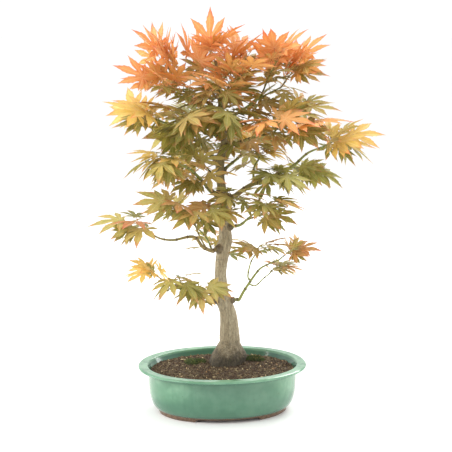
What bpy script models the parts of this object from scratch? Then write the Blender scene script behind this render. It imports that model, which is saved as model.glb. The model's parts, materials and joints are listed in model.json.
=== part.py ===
"""Japanese maple bonsai in an oval glazed pot: pot, screens, soil, moss, trunk, branches and leafy shoots.

Everything is in metres, +Z up. The tree is drawn in its own frame, whose origin lies on the pot's vertical
axis at the top of the soil. At the end the whole is centred on its footprint, with its feet on Z = 0.
"""

import math
from typing import NamedTuple

import bmesh
import bpy
from mathutils import Matrix, Vector
from mathutils.bvhtree import BVHTree

# --- Pot ---
POT_LENGTH = 0.250  # over the lip, along X
POT_DEPTH = 0.200  # over the lip, along Y
POT_HEIGHT = 0.070
OVAL_POWER = 2.1  # 2 is an ellipse, more is squarer
POT_SIDES = 32
LIP_WIDTH = 0.0145
LIP_THICKNESS = 0.0050
WALL = 0.0070
FLOOR = 0.0080
LIP_OVERHANG = 0.0150  # from the body's side out to the lip's edge
BELLY_TUCK = 0.0118  # how far the body draws in from its side down to its base
FOOT_RING_HEIGHT = 0.0065
FOOT_RING_WIDTH = 0.0100
ARCH_HEIGHT = 0.0043  # the gaps that part the ring into four feet
FRONT_ARCH = 0.096  # width of the gap at front and back
END_ARCH = 0.030  # width of the gap at each end
ARCH_SLOPE = 0.0040  # each side of an arch leans in by this
DRAIN_RADIUS = 0.0090
DRAIN_OFFSET = 0.0420  # each hole's centre, from the pot's middle along X

# --- Drain screens ---
SCREEN_SIZE = 0.0260
SCREEN_THICKNESS = 0.0012
SCREEN_CELLS = 3  # openings along a side

# --- Soil and moss ---
CLEARANCE = 0.0003  # between pieces that touch
SOIL_DROP = 0.0090  # from the pot's brim down to the soil at the wall
SOIL_MOUND = 0.0055  # how much higher the soil stands at the trunk than at the wall
MOSS_HEIGHT = 0.0035
MOSS_LIFT = 0.0006  # between the flat facets of soil and moss

# --- Tree ---
TREE_HEIGHT = 0.450  # from the soil to the end of the leader; the routes below stretch with it
ROOT_DEPTH = 0.0240  # how deep the root crown sits in the soil
ROOT_BULGE = 1.0  # swelling of the graft knob at the soil, 1 is full
TRUNK_THICKNESS = 1.0  # multiplies the trunk's radii below
TRUNK_SIDES = 12
LEVEL_RINGS = 6  # the knob's rings lie level, since it is too thick to tilt
BRANCH_SIDES = 6
TWIG_SIDES = 5
COLLAR_LENGTH = 0.0045  # how far a branch collar stands out of the bark
TWIG_RADIUS = 0.0010
TWIG_TIP_RADIUS = 0.0007
TWIG_SPAN = 0.150  # a twig this long is twice as thick at its root
LEAF_LENGTH = 0.042  # a full-size blade, from its stalk to the tip of its middle lobe
LEAF_THICKNESS = 0.0010
LEAF_DROOP = 0.14  # fall of a lobe's tip, as a share of its length
STALK_LENGTH = 0.020
STALK_WIDTH = 0.0011

# --- Finishes: colour, roughness, metallic ---
GLAZE = ((0.20, 0.50, 0.36), 0.15, 0.0)
SCREEN_PLASTIC = ((0.02, 0.02, 0.02), 0.6, 0.0)
SOIL_BROWN = ((0.09, 0.05, 0.03), 0.95, 0.0)
MOSS_GREEN = ((0.08, 0.16, 0.03), 1.0, 0.0)
TRUNK_BARK = ((0.38, 0.31, 0.22), 0.85, 0.0)
YOUNG_BARK = ((0.25, 0.30, 0.12), 0.7, 0.0)
LEAF_FINISHES = {
    "orange": ((0.85, 0.30, 0.12), 0.55, 0.0),
    "salmon": ((0.62, 0.26, 0.15), 0.55, 0.0),
    "yellow": ((0.80, 0.60, 0.18), 0.55, 0.0),
    "olive": ((0.38, 0.34, 0.08), 0.55, 0.0),
    "green": ((0.22, 0.32, 0.06), 0.55, 0.0),
}


class Arm(NamedTuple):
    """A bare stem: where it springs from its parent, as a share of the parent's length, the points it goes
    through in the tree's frame, and its radius at both ends."""

    share: float
    points: tuple
    radius: float
    tip_radius: float


class Shoot(NamedTuple):
    """A leafy twig: its parent and arm, the share of that arm's length it springs at, its tip, the way its
    leaves fan out (heading, 0 is +X and 90 is +Y; lift above the horizon; roll about that way), how many
    leaves, how large against LEAF_LENGTH, and their colour."""

    parent: str
    arm: int
    share: float
    tip: tuple
    heading: float
    lift: float
    roll: float
    leaves: int
    size: float
    finish: str


# The trunk's middle line and radius: x, y, height above the soil, radius.
TRUNK_LINE = (
    (0.006, 0.015, 0.000, 0.0270),
    (0.009, 0.015, 0.010, 0.0245),
    (0.011, 0.015, 0.021, 0.0188),
    (0.012, 0.015, 0.038, 0.0150),
    (0.011, 0.014, 0.066, 0.0128),
    (0.008, 0.013, 0.082, 0.0116),
    (0.001, 0.012, 0.102, 0.0110),
    (-0.001, 0.012, 0.124, 0.0095),
    (-0.001, 0.012, 0.142, 0.0087),
    (0.001, 0.012, 0.160, 0.0092),
    (0.006, 0.012, 0.185, 0.0098),
    (0.005, 0.011, 0.205, 0.0088),
    (0.004, 0.010, 0.225, 0.0080),
    (0.001, 0.010, 0.258, 0.0068),
    (-0.002, 0.010, 0.280, 0.0064),
    (-0.002, 0.008, 0.304, 0.0062),
    (0.004, 0.006, 0.335, 0.0050),
    (0.001, 0.004, 0.367, 0.0040),
    (-0.006, 0.001, 0.410, 0.0030),
    (-0.010, -0.004, 0.450, 0.0021),
)

# Each branch's first arm springs from the trunk; the others spring from its first arm.
BRANCHES = {
    "left_low": (
        Arm(0.215, (
            (-0.027, -0.002, 0.098), (-0.050, -0.018, 0.113), (-0.074, -0.032, 0.130),
            (-0.092, -0.040, 0.141),
        ), 0.0026, 0.0011),
    ),
    "right_low": (
        Arm(0.213, (
            (0.026, 0.006, 0.098), (0.034, 0.004, 0.113), (0.055, 0.010, 0.140), (0.070, 0.014, 0.148),
            (0.088, 0.018, 0.154),
        ), 0.0024, 0.0009),
        Arm(0.420, (
            (0.037, -0.006, 0.135), (0.040, -0.012, 0.156), (0.046, -0.014, 0.168),
        ), 0.0013, 0.0009),
        Arm(0.360, (
            (0.052, 0.016, 0.116), (0.064, 0.024, 0.124), (0.074, 0.029, 0.130),
        ), 0.0012, 0.0008),
    ),
    "left_mid": (
        Arm(0.392, (
            (-0.016, 0.001, 0.173), (-0.030, -0.008, 0.181), (-0.044, -0.013, 0.197), (-0.074, -0.020, 0.194),
            (-0.096, -0.025, 0.199), (-0.110, -0.029, 0.211),
        ), 0.0030, 0.0010),
        Arm(0.160, (
            (-0.038, -0.026, 0.204), (-0.046, -0.032, 0.224), (-0.058, -0.036, 0.238),
        ), 0.0014, 0.0010),
        Arm(0.060, (
            (-0.022, 0.012, 0.190), (-0.036, 0.022, 0.205), (-0.052, 0.031, 0.220),
        ), 0.0014, 0.0010),
    ),
    "right_mid": (
        Arm(0.455, (
            (0.026, -0.006, 0.212), (0.034, -0.026, 0.224), (0.047, -0.044, 0.240),
        ), 0.0024, 0.0011),
    ),
    "right_main": (
        Arm(0.550, (
            (0.020, 0.010, 0.252), (0.034, 0.011, 0.262), (0.047, 0.012, 0.269), (0.069, 0.015, 0.275),
            (0.089, 0.020, 0.284), (0.109, 0.020, 0.295), (0.128, 0.014, 0.313), (0.150, 0.008, 0.323),
        ), 0.0040, 0.0011),
        Arm(0.250, (
            (0.050, 0.026, 0.290), (0.060, 0.038, 0.304),
        ), 0.0019, 0.0012),
    ),
    "left_upper": (
        Arm(0.560, (
            (-0.018, 0.002, 0.262), (-0.030, -0.010, 0.277), (-0.050, -0.028, 0.297), (-0.074, -0.042, 0.310),
        ), 0.0031, 0.0013),
    ),
    "back_right": (
        Arm(0.635, (
            (0.014, 0.030, 0.295), (0.034, 0.054, 0.306), (0.052, 0.078, 0.322),
        ), 0.0026, 0.0012),
    ),
    "left_fork": (
        Arm(0.672, (
            (-0.020, 0.022, 0.316), (-0.028, 0.036, 0.330), (-0.034, 0.050, 0.350),
        ), 0.0030, 0.0014),
    ),
    "right_high": (
        Arm(0.715, (
            (0.026, -0.012, 0.334), (0.056, -0.030, 0.345), (0.090, -0.042, 0.350),
        ), 0.0026, 0.0011),
    ),
    "left_high": (
        Arm(0.745, (
            (-0.022, -0.010, 0.348), (-0.054, -0.024, 0.358), (-0.086, -0.030, 0.364),
        ), 0.0024, 0.0010),
    ),
    "crown_right": (
        Arm(0.800, (
            (0.028, 0.008, 0.376), (0.056, 0.012, 0.394), (0.088, 0.012, 0.410),
        ), 0.0022, 0.0010),
    ),
    "crown_left": (
        Arm(0.835, (
            (-0.024, 0.002, 0.390), (-0.046, -0.004, 0.406), (-0.062, -0.008, 0.422),
        ), 0.0020, 0.0010),
    ),
}

# The leafy shoots, lowest first.
SHOOTS = {
    "left_low_end": Shoot("left_low", 0, 1.0, (-0.106, -0.046, 0.151), 178, 6, -35, 4, 0.9, "yellow"),
    "left_low_middle": Shoot("left_low", 0, 0.62, (-0.070, -0.052, 0.150), 232, -16, 0, 5, 1.0, "olive"),
    "left_low_inner": Shoot("left_low", 0, 0.30, (-0.040, -0.042, 0.134), 290, -14, 0, 4, 0.95, "salmon"),
    "back_low": Shoot("trunk", 0, 0.330, (-0.004, 0.088, 0.176), 90, 8, 0, 5, 1.0, "olive"),
    "right_low_end": Shoot("right_low", 0, 1.0, (0.104, 0.018, 0.166), 5, -4, 55, 4, 0.85, "salmon"),
    "right_low_front": Shoot("right_low", 1, 1.0, (0.052, -0.018, 0.182), 305, -8, 0, 5, 1.0, "olive"),
    "right_low_back": Shoot("right_low", 2, 1.0, (0.084, 0.036, 0.138), 15, 2, 10, 4, 0.85, "salmon"),
    "left_mid_end": Shoot("left_mid", 0, 1.0, (-0.124, -0.033, 0.222), 182, -6, -20, 5, 1.25, "salmon"),
    "left_mid_front": Shoot("left_mid", 1, 1.0, (-0.070, -0.042, 0.250), 200, -10, -20, 5, 1.1, "salmon"),
    "left_mid_top": Shoot("left_mid", 1, 0.55, (-0.040, -0.056, 0.242), 285, -24, 0, 4, 0.95, "olive"),
    "left_mid_back": Shoot("left_mid", 2, 1.0, (-0.064, 0.042, 0.232), 160, 8, -15, 5, 0.95, "green"),
    "right_mid_end": Shoot("right_mid", 0, 1.0, (0.058, -0.056, 0.250), 325, -18, 0, 5, 1.0, "salmon"),
    "right_mid_side": Shoot("right_mid", 0, 0.50, (0.058, -0.020, 0.228), 0, -20, 25, 4, 0.95, "olive"),
    "front_left": Shoot("trunk", 0, 0.490, (-0.010, -0.044, 0.240), 225, -16, 0, 4, 1.0, "salmon"),
    "front_right": Shoot("trunk", 0, 0.520, (0.016, -0.052, 0.262), 300, -12, 0, 5, 1.0, "salmon"),
    "left_upper_end": Shoot("left_upper", 0, 1.0, (-0.092, -0.048, 0.318), 190, -16, -15, 7, 1.15, "yellow"),
    "left_upper_inner": Shoot("left_upper", 0, 0.35, (-0.052, 0.024, 0.282), 165, -4, -30, 6, 1.15, "yellow"),
    "back_mid": Shoot("trunk", 0, 0.600, (-0.036, 0.092, 0.304), 112, 6, 0, 7, 1.05, "yellow"),
    "right_main_end": Shoot("right_main", 0, 1.0, (0.168, 0.002, 0.332), 0, 4, 30, 5, 1.3, "yellow"),
    "right_main_middle": Shoot("right_main", 0, 0.62, (0.134, 0.034, 0.288), 12, -16, 25, 6, 1.1, "green"),
    "right_main_inner": Shoot("right_main", 0, 0.45, (0.072, -0.028, 0.288), 310, -18, 0, 7, 1.1, "green"),
    "right_main_back": Shoot("right_main", 1, 1.0, (0.058, 0.062, 0.314), 100, 10, 0, 7, 1.15, "yellow"),
    "back_right": Shoot("back_right", 0, 1.0, (0.064, 0.096, 0.330), 70, 6, 0, 7, 1.15, "green"),
    "left_fork": Shoot("left_fork", 0, 1.0, (-0.044, 0.070, 0.366), 128, 12, 0, 7, 1.15, "green"),
    "left_fork_side": Shoot("left_fork", 0, 0.55, (-0.062, 0.030, 0.338), 180, 2, -35, 6, 1.15, "green"),
    "right_high_end": Shoot("right_high", 0, 1.0, (0.110, -0.044, 0.356), 350, -6, 30, 7, 1.15, "orange"),
    "right_high_middle": Shoot("right_high", 0, 0.55, (0.058, -0.060, 0.366), 290, -18, 0, 6, 1.15, "orange"),
    "right_high_back": Shoot("right_high", 0, 0.75, (0.108, -0.008, 0.378), 15, 2, 25, 6, 1.15, "olive"),
    "left_high_end": Shoot("left_high", 0, 1.0, (-0.108, -0.034, 0.371), 180, -6, -25, 6, 1.3, "yellow"),
    "left_high_middle": Shoot("left_high", 0, 0.55, (-0.064, -0.062, 0.372), 240, -14, 0, 6, 1.15, "olive"),
    "crown_left_low": Shoot("crown_left", 0, 0.60, (-0.098, -0.018, 0.412), 188, 20, -45, 7, 1.15, "orange"),
    "crown_left_end": Shoot("crown_left", 0, 1.0, (-0.086, -0.008, 0.446), 160, 48, -60, 6, 1.15, "orange"),
    "crown_front_low": Shoot("trunk", 0, 0.800, (0.000, -0.064, 0.384), 262, -22, 0, 7, 1.15, "olive"),
    "crown_front": Shoot("trunk", 0, 0.850, (-0.012, -0.054, 0.414), 250, 10, 0, 7, 1.15, "orange"),
    "crown_front_right": Shoot("trunk", 0, 0.880, (0.026, -0.044, 0.432), 300, 35, 0, 7, 1.15, "orange"),
    "crown_right_up": Shoot("crown_right", 0, 0.62, (0.076, -0.016, 0.448), 290, 50, 0, 6, 1.15, "orange"),
    "crown_right_end": Shoot("crown_right", 0, 1.0, (0.108, 0.010, 0.436), 5, 34, 45, 7, 1.15, "orange"),
    "crown_back": Shoot("trunk", 0, 0.860, (0.020, 0.070, 0.410), 78, 22, 0, 7, 1.15, "olive"),
    "leader_right": Shoot("trunk", 0, 0.920, (0.034, 0.030, 0.446), 60, 50, 20, 6, 1.1, "orange"),
    "leader_left": Shoot("trunk", 0, 0.940, (-0.056, 0.014, 0.436), 185, 62, -30, 5, 1.1, "orange"),
    "leader": Shoot("trunk", 0, 1.000, (-0.018, -0.006, 0.456), 275, 68, 0, 5, 1.1, "orange"),
}

# A blade's lobes: the angle from its middle line, and the length against the middle lobe's.
LOBES = ((80, 0.56), (40, 0.86), (0, 1.0), (-40, 0.86), (-80, 0.56))
NOTCH = 0.30  # how far from the stalk the blade parts into lobes, against the middle lobe
FAN_POINT = 0.14  # where the blade's veins meet, against the middle lobe
# Where leaves sit on a twig, as shares of its length. An odd leaf takes the end alone.
PAIR_SHARES = (0.95, 0.68, 0.44, 0.22)
PAIR_SPREADS = (42, 64, 76, 84)  # how far each pair turns out from the twig's heading, in degrees
STALK_LIFT = 16  # a stalk rises this much more steeply than its blade, in degrees
# A leaf that would cross a neighbour turns and tilts by the first of these that keeps it clear, in degrees.
TRIES = tuple(
    (turn, tilt)
    for reach in (0, 12, 24, 36, 48, 60, 72)
    for turn, tilt in (
        ((0, 0),) if reach == 0 else
        ((0, reach), (0, -reach), (reach, 0), (-reach, 0), (reach, reach), (-reach, reach),
         (reach, -reach), (-reach, -reach))
    )
)

FOOT_Z = 0.0
FLOOR_TOP = FOOT_RING_HEIGHT + FLOOR
SOIL_EDGE_Z = POT_HEIGHT - SOIL_DROP
SOIL_Z = SOIL_EDGE_Z + SOIL_MOUND
GROWTH = TREE_HEIGHT / TRUNK_LINE[-1][2]


# --- Scene and material helpers ---
def clear_scene():
    for obj in list(bpy.data.objects):
        bpy.data.objects.remove(obj)


def material(name, finish):
    """One Principled material for each finish, made once."""
    found = bpy.data.materials.get(name)
    if found:
        return found
    colour, roughness, metallic = finish
    made = bpy.data.materials.new(name)
    made.use_nodes = True
    shader = made.node_tree.nodes["Principled BSDF"]
    shader.inputs["Base Color"].default_value = (*colour, 1.0)
    shader.inputs["Roughness"].default_value = roughness
    shader.inputs["Metallic"].default_value = metallic
    made.diffuse_color = (*colour, 1.0)
    return made


def object_from(bm, name, finish_name, finish, parent, smooth=True):
    """A bmesh as a named object under parent."""
    bmesh.ops.recalc_face_normals(bm, faces=bm.faces)
    mesh = bpy.data.meshes.new(name)
    bm.to_mesh(mesh)
    bm.free()
    mesh.materials.append(material(finish_name, finish))
    if smooth:
        mesh.shade_smooth()
        mesh.set_sharp_from_angle(angle=math.radians(35))
    obj = bpy.data.objects.new(name, mesh)
    bpy.context.scene.collection.objects.link(obj)
    obj.parent = parent
    return obj


def helper_from(bm, name, parent):
    """A bmesh as a hidden cutter or joiner."""
    obj = object_from(bm, name, "helper", ((0.5, 0.5, 0.5), 0.5, 0.0), parent, smooth=False)
    obj.hide_render = True
    obj.display_type = "WIRE"
    return obj


def boolean(obj, operation, other):
    modifier = obj.modifiers.new(other.name, "BOOLEAN")
    modifier.operation = operation
    modifier.solver = "EXACT"
    modifier.use_self = operation == "UNION"
    modifier.object = other


# --- Curves and solids ---
def smooth_route(points, steps):
    """A smooth line through all the points, with steps stretches between each two."""
    ends = [points[0] * 2 - points[1], *points, points[-1] * 2 - points[-2]]
    line = []
    for a, b, c, d in zip(ends, ends[1:], ends[2:], ends[3:]):
        for i in range(steps):
            t = i / steps
            line.append(0.5 * (2 * b + (c - a) * t + (2 * a - 5 * b + 4 * c - d) * t**2
                               + (3 * b - a - 3 * c + d) * t**3))
    return [*line, points[-1].copy()]


def along(line, share):
    """The point at a share of the line's length, and the line's direction there."""
    lengths = [(b - a).length for a, b in zip(line, line[1:])]
    left = share * sum(lengths)
    for a, b, length in zip(line, line[1:], lengths):
        if left <= length or b is line[-1]:
            return a.lerp(b, left / length), (b - a).normalized()
        left -= length
    raise ValueError("a line needs two points")


def surface_towards(tree, point, aim):
    """Where the way from point to aim last leaves a solid, and that way."""
    way = (aim - point).normalized()
    hit, _, _, _ = tree.ray_cast(aim, -way)
    return (hit or point), way


def direction(heading, rise):
    h, r = math.radians(heading), math.radians(rise)
    return Vector((math.cos(h) * math.cos(r), math.sin(h) * math.cos(r), math.sin(r)))


def add_tube(bm, centres, radii, sides, swell=None, level=0):
    """A closed tube along the centres. swell(ring number, angle) multiplies the radius, and the first
    rings, as many as level says, lie level."""
    last = len(centres) - 1
    ways = [(centres[min(i + 1, last)] - centres[max(i - 1, 0)]).normalized() for i in range(last + 1)]
    ways[:level] = [Vector((0, 0, 1))] * level
    side = ways[0].orthogonal().normalized()
    rings = []
    for i, (centre, radius, way) in enumerate(zip(centres, radii, ways)):
        if i:
            side = ways[i - 1].rotation_difference(way) @ side
        across = way.cross(side)
        ring = []
        for k in range(sides):
            angle = math.tau * k / sides
            reach = radius * (swell(i, angle) if swell else 1.0)
            ring.append(bm.verts.new(centre + (side * math.cos(angle) + across * math.sin(angle)) * reach))
        rings.append(ring)
    for low, high in zip(rings, rings[1:]):
        for k in range(sides):
            j = (k + 1) % sides
            bm.faces.new((low[k], low[j], high[j]))
            bm.faces.new((low[k], high[j], high[k]))
    bm.faces.new(rings[0][::-1])
    bm.faces.new(rings[-1])


def taper(start, end, count):
    return [start + (end - start) * i / (count - 1) for i in range(count)]


def bvh_of(bm):
    return BVHTree.FromBMesh(bm)


# --- Pot ---
def oval(inset, z, grow=0.0):
    """The pot's outline, drawn in from the lip's edge by inset."""
    half_length = POT_LENGTH / 2 - inset + grow
    half_depth = POT_DEPTH / 2 - inset + grow
    points = []
    for k in range(POT_SIDES):
        angle = math.tau * k / POT_SIDES
        c, s = math.cos(angle), math.sin(angle)
        x = math.copysign(abs(c) ** (2 / OVAL_POWER), c) * half_length
        y = math.copysign(abs(s) ** (2 / OVAL_POWER), s) * half_depth
        points.append(Vector((x, y, z)))
    return points


def base_inset():
    """Inset of the pot's base edge, where the foot ring begins."""
    return LIP_OVERHANG + BELLY_TUCK


def inner_profile():
    """Inset and height down the inside of the pot, from the lip to the floor's edge."""
    wall = LIP_OVERHANG + WALL
    side_bottom = FOOT_RING_HEIGHT + (POT_HEIGHT - FOOT_RING_HEIGHT) * 0.36
    return [
        (LIP_WIDTH, POT_HEIGHT - 0.0008),
        (LIP_WIDTH + 0.0020, POT_HEIGHT - LIP_THICKNESS),
        (wall, POT_HEIGHT - LIP_THICKNESS * 3),
        (wall + 0.0006, side_bottom),
        (wall + BELLY_TUCK * 0.42, FLOOR_TOP + 0.0045),
        (wall + BELLY_TUCK * 0.85, FLOOR_TOP),
    ]


def outer_profile():
    """Inset and height up the outside of the pot, from the base's edge over the lip."""
    body_top = POT_HEIGHT - LIP_THICKNESS
    rise = body_top - FOOT_RING_HEIGHT
    return [
        (base_inset(), FOOT_RING_HEIGHT),
        (LIP_OVERHANG + BELLY_TUCK * 0.76, FOOT_RING_HEIGHT + rise * 0.05),
        (LIP_OVERHANG + BELLY_TUCK * 0.40, FOOT_RING_HEIGHT + rise * 0.17),
        (LIP_OVERHANG + BELLY_TUCK * 0.12, FOOT_RING_HEIGHT + rise * 0.38),
        (LIP_OVERHANG, FOOT_RING_HEIGHT + rise * 0.80),
        (LIP_OVERHANG - 0.0025, body_top),
        (0.0014, body_top + LIP_THICKNESS * 0.20),
        (0.0000, body_top + LIP_THICKNESS * 0.55),
        (0.0016, POT_HEIGHT),
        (LIP_WIDTH - 0.0015, POT_HEIGHT),
    ]


def foot_profile():
    """Inset and height of the foot ring, from under the pot round to its outer face."""
    outer = base_inset() + 0.0012
    return [
        (outer + FOOT_RING_WIDTH + 0.0006, FOOT_RING_HEIGHT),
        (outer + FOOT_RING_WIDTH, FOOT_Z),
        (outer + 0.0010, FOOT_Z),
        (outer, FOOT_RING_HEIGHT - 0.0010),
    ]


def arch_cutter(name, width, reach, along_x, parent):
    """A prism through the foot ring, wider at the ground than at its top."""
    half, top_half, low = width / 2, width / 2 - ARCH_SLOPE, -0.004
    slope_low = half + ARCH_SLOPE * -low / ARCH_HEIGHT
    outline = [(-slope_low, low), (slope_low, low), (top_half, ARCH_HEIGHT), (-top_half, ARCH_HEIGHT)]
    bm = bmesh.new()
    ends = []
    for end in (-reach, reach):
        ends.append([bm.verts.new((end, p, z) if along_x else (p, end, z)) for p, z in outline])
    first, second = ends
    for k in range(4):
        j = (k + 1) % 4
        bm.faces.new((first[k], first[j], second[j], second[k]))
    bm.faces.new(first[::-1])
    bm.faces.new(second)
    return helper_from(bm, name, parent)


def make_pot(parent):
    bm = bmesh.new()
    profile = (*foot_profile(), *outer_profile(), *inner_profile())
    rings = [[bm.verts.new(p) for p in oval(*step)] for step in profile]
    for low, high in zip(rings, rings[1:]):
        for k in range(POT_SIDES):
            j = (k + 1) % POT_SIDES
            bm.faces.new((low[k], low[j], high[j], high[k]))
    bm.faces.new(rings[0][::-1])
    bm.faces.new(rings[-1])
    pot = object_from(bm, "pot", "glaze", GLAZE, parent)
    boolean(pot, "DIFFERENCE", arch_cutter("front_arch", FRONT_ARCH, POT_DEPTH, False, parent))
    boolean(pot, "DIFFERENCE", arch_cutter("end_arch", END_ARCH, POT_LENGTH, True, parent))
    for side in (-1, 1):
        drill = bmesh.new()
        centre = Vector((side * DRAIN_OFFSET, 0, 0))
        add_tube(drill, [centre + Vector((0, 0, -FLOOR)), centre + Vector((0, 0, FLOOR_TOP + FLOOR))],
                 [DRAIN_RADIUS] * 2, 20)
        boolean(pot, "DIFFERENCE", helper_from(drill, f"drain_drill_{side}", parent))
    return pot


def make_screen(name, side, parent):
    """A square plastic grid over a drain hole, lying on the pot's floor."""
    bm = bmesh.new()
    count = 2 * SCREEN_CELLS + 1
    low = FLOOR_TOP + CLEARANCE
    edge = [SCREEN_SIZE * (i / count - 0.5) for i in range(count + 1)]

    def solid(i, j):
        return 0 <= i < count and 0 <= j < count and not (i % 2 and j % 2)

    corners = {}

    def corner(i, j, top):
        key = (i, j, top)
        if key not in corners:
            z = low + (SCREEN_THICKNESS if top else 0.0)
            corners[key] = bm.verts.new((side * DRAIN_OFFSET + edge[i], edge[j], z))
        return corners[key]

    for i in range(count):
        for j in range(count):
            if not solid(i, j):
                continue
            square = [(i, j), (i + 1, j), (i + 1, j + 1), (i, j + 1)]
            bm.faces.new([corner(*p, True) for p in square])
            bm.faces.new([corner(*p, False) for p in square[::-1]])
            beside = [(i, j - 1), (i + 1, j), (i, j + 1), (i - 1, j)]
            for k, other in enumerate(beside):
                if not solid(*other):
                    a, b = square[k], square[(k + 1) % 4]
                    bm.faces.new((corner(*a, False), corner(*b, False), corner(*b, True), corner(*a, True)))
    return object_from(bm, name, "screen_plastic", SCREEN_PLASTIC, parent, smooth=False)


# --- Soil and moss ---
def soil_height(x, y):
    """Height of the soil's surface: level at the wall, rising in a low mound to the trunk."""
    inset = LIP_OVERHANG + WALL
    reach = math.hypot(x / (POT_LENGTH / 2 - inset), y / (POT_DEPTH / 2 - inset))
    return SOIL_EDGE_Z + SOIL_MOUND * max(0.0, 1 - reach**2) ** 0.8


def wall_inset_at(z):
    """Inset of the pot's inner wall at a height."""
    steps = inner_profile()
    for (high_inset, high), (low_inset, low) in zip(steps, steps[1:]):
        if low <= z <= high:
            return high_inset + (low_inset - high_inset) * (high - z) / (high - low)
    return steps[-1][0]


def make_soil(parent):
    bottom = FLOOR_TOP + CLEARANCE
    profile = [(inner_profile()[-1][0] + CLEARANCE * 2, bottom)]
    for inset, z in inner_profile()[::-1]:
        if bottom < z < SOIL_EDGE_Z - 0.002:
            profile.append((inset + CLEARANCE * 1.4, z))
    profile.append((wall_inset_at(SOIL_EDGE_Z) + CLEARANCE * 1.4, SOIL_EDGE_Z))
    bm = bmesh.new()
    rings = [[bm.verts.new(p) for p in oval(*step)] for step in profile]
    edge = oval(*profile[-1])
    for share in (0.80, 0.50, 0.25):
        inner = [(p.x * share, p.y * share) for p in edge]
        rings.append([bm.verts.new((x, y, soil_height(x, y))) for x, y in inner])
    for low, high in zip(rings, rings[1:]):
        for k in range(POT_SIDES):
            j = (k + 1) % POT_SIDES
            bm.faces.new((low[k], low[j], high[j], high[k]))
    bm.faces.new(rings[0][::-1])
    bm.faces.new(rings[-1])
    soil = object_from(bm, "soil", "soil", SOIL_BROWN, parent)
    socket = bmesh.new()
    centres, radii = trunk_rings(CLEARANCE * 1.6, top=0.030)
    add_tube(socket, centres, radii, TRUNK_SIDES, trunk_swell, LEVEL_RINGS)
    boolean(soil, "DIFFERENCE", helper_from(socket, "root_socket", parent))
    for side in (-1, 1):
        width = SCREEN_SIZE + CLEARANCE * 2
        depth = (SCREEN_THICKNESS + CLEARANCE * 2) * 2
        place = Matrix.Translation((side * DRAIN_OFFSET, 0, FLOOR_TOP))
        pocket = bmesh.new()
        bmesh.ops.create_cube(pocket, size=1.0, matrix=place @ Matrix.Diagonal((width, width, depth, 1)))
        boolean(soil, "DIFFERENCE", helper_from(pocket, f"screen_pocket_{side}", parent))
    return soil


def make_moss(name, centre, half_length, half_depth, turn, parent):
    """A low cushion of moss that follows the soil's surface."""
    bm = bmesh.new()
    sides, shares = 12, (1.0, 0.72, 0.36)

    def ring(share, lift):
        verts = []
        for k in range(sides):
            angle = math.tau * k / sides
            ripple = 1 + 0.12 * math.cos(3 * angle + turn)
            x = centre[0] + half_length * share * ripple * math.cos(angle)
            y = centre[1] + half_depth * share * ripple * math.sin(angle)
            verts.append(bm.verts.new((x, y, soil_height(x, y) + MOSS_LIFT + lift)))
        return verts

    under = [ring(share, 0.0) for share in shares[::-1]]
    over = [ring(share, MOSS_HEIGHT * (0.25 + 0.75 * (1 - share**2))) for share in shares]
    rings = [*under, *over]
    for low, high in zip(rings, rings[1:]):
        for k in range(sides):
            j = (k + 1) % sides
            bm.faces.new((low[k], low[j], high[j], high[k]))
    bm.faces.new(rings[0][::-1])
    bm.faces.new(rings[-1])
    return object_from(bm, name, "moss", MOSS_GREEN, parent)


# --- Trunk and branches ---
def in_tree(point):
    """A point of the routes above, stretched to the tree's height and set on the soil."""
    return Vector(point) * GROWTH + Vector((0, 0, SOIL_Z))


def trunk_line():
    """The trunk's middle line from the soil up, and its radius at each point."""
    steps = 1
    centres = smooth_route([in_tree(row[:3]) for row in TRUNK_LINE], steps)
    radii = []
    for here, above in zip(TRUNK_LINE, TRUNK_LINE[1:]):
        radii += [(here[3] + (above[3] - here[3]) * i / steps) * TRUNK_THICKNESS for i in range(steps)]
    return centres, [*radii, TRUNK_LINE[-1][3] * TRUNK_THICKNESS]


def trunk_rings(grow=0.0, top=None):
    """Centres and radii from the buried root crown up, larger by grow, as far as a height above the soil."""
    centres, radii = trunk_line()
    knob = radii[0] * (0.85 + 0.20 * ROOT_BULGE)
    foot = centres[0]
    buried = [(ROOT_DEPTH + grow, knob * 0.72), (ROOT_DEPTH * 0.55, knob * 0.96), (ROOT_DEPTH * 0.2, knob)]
    centres = [foot - Vector((0, 0, depth)) for depth, _ in buried] + centres
    radii = [radius for _, radius in buried] + radii
    if top is not None:
        keep = sum(c.z < SOIL_Z + top for c in centres)
        centres, radii = centres[:keep], radii[:keep]
    return centres, [radius + grow for radius in radii]


def trunk_swell(ring, angle):
    """The knob is lumpy at the soil, and the stem above it is nearly round."""
    lump = 0.10 * ROOT_BULGE * max(0.0, 1 - ring / 9)
    lobes = lump * math.cos(3 * angle + 0.6) + 0.5 * lump * math.cos(5 * angle)
    return 1 + lobes + 0.02 * math.cos(2 * angle + ring)


def start_clear(tree, point, parent_way, aim, radius, at_end):
    """Where a stem going from a point inside its parent to aim begins, so that its flat end just clears the
    parent's surface: its side, or its end if at_end."""
    surface, way = surface_towards(tree, point, aim)
    lean = min(0.9, abs(way.dot(parent_way)))
    if at_end:
        lean = min(0.9, math.sqrt(1 - lean**2))
    return surface + way * (CLEARANCE + radius * lean / math.sqrt(1 - lean**2))


def collar_of(arm, trunk_tree):
    """A branch's collar: where it starts inside the trunk, where it ends, and its way."""
    centres, _ = trunk_line()
    middle, _ = along(centres, arm.share)
    surface, way = surface_towards(trunk_tree, middle, in_tree(arm.points[0]))
    return middle, surface + way * COLLAR_LENGTH, way


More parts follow.
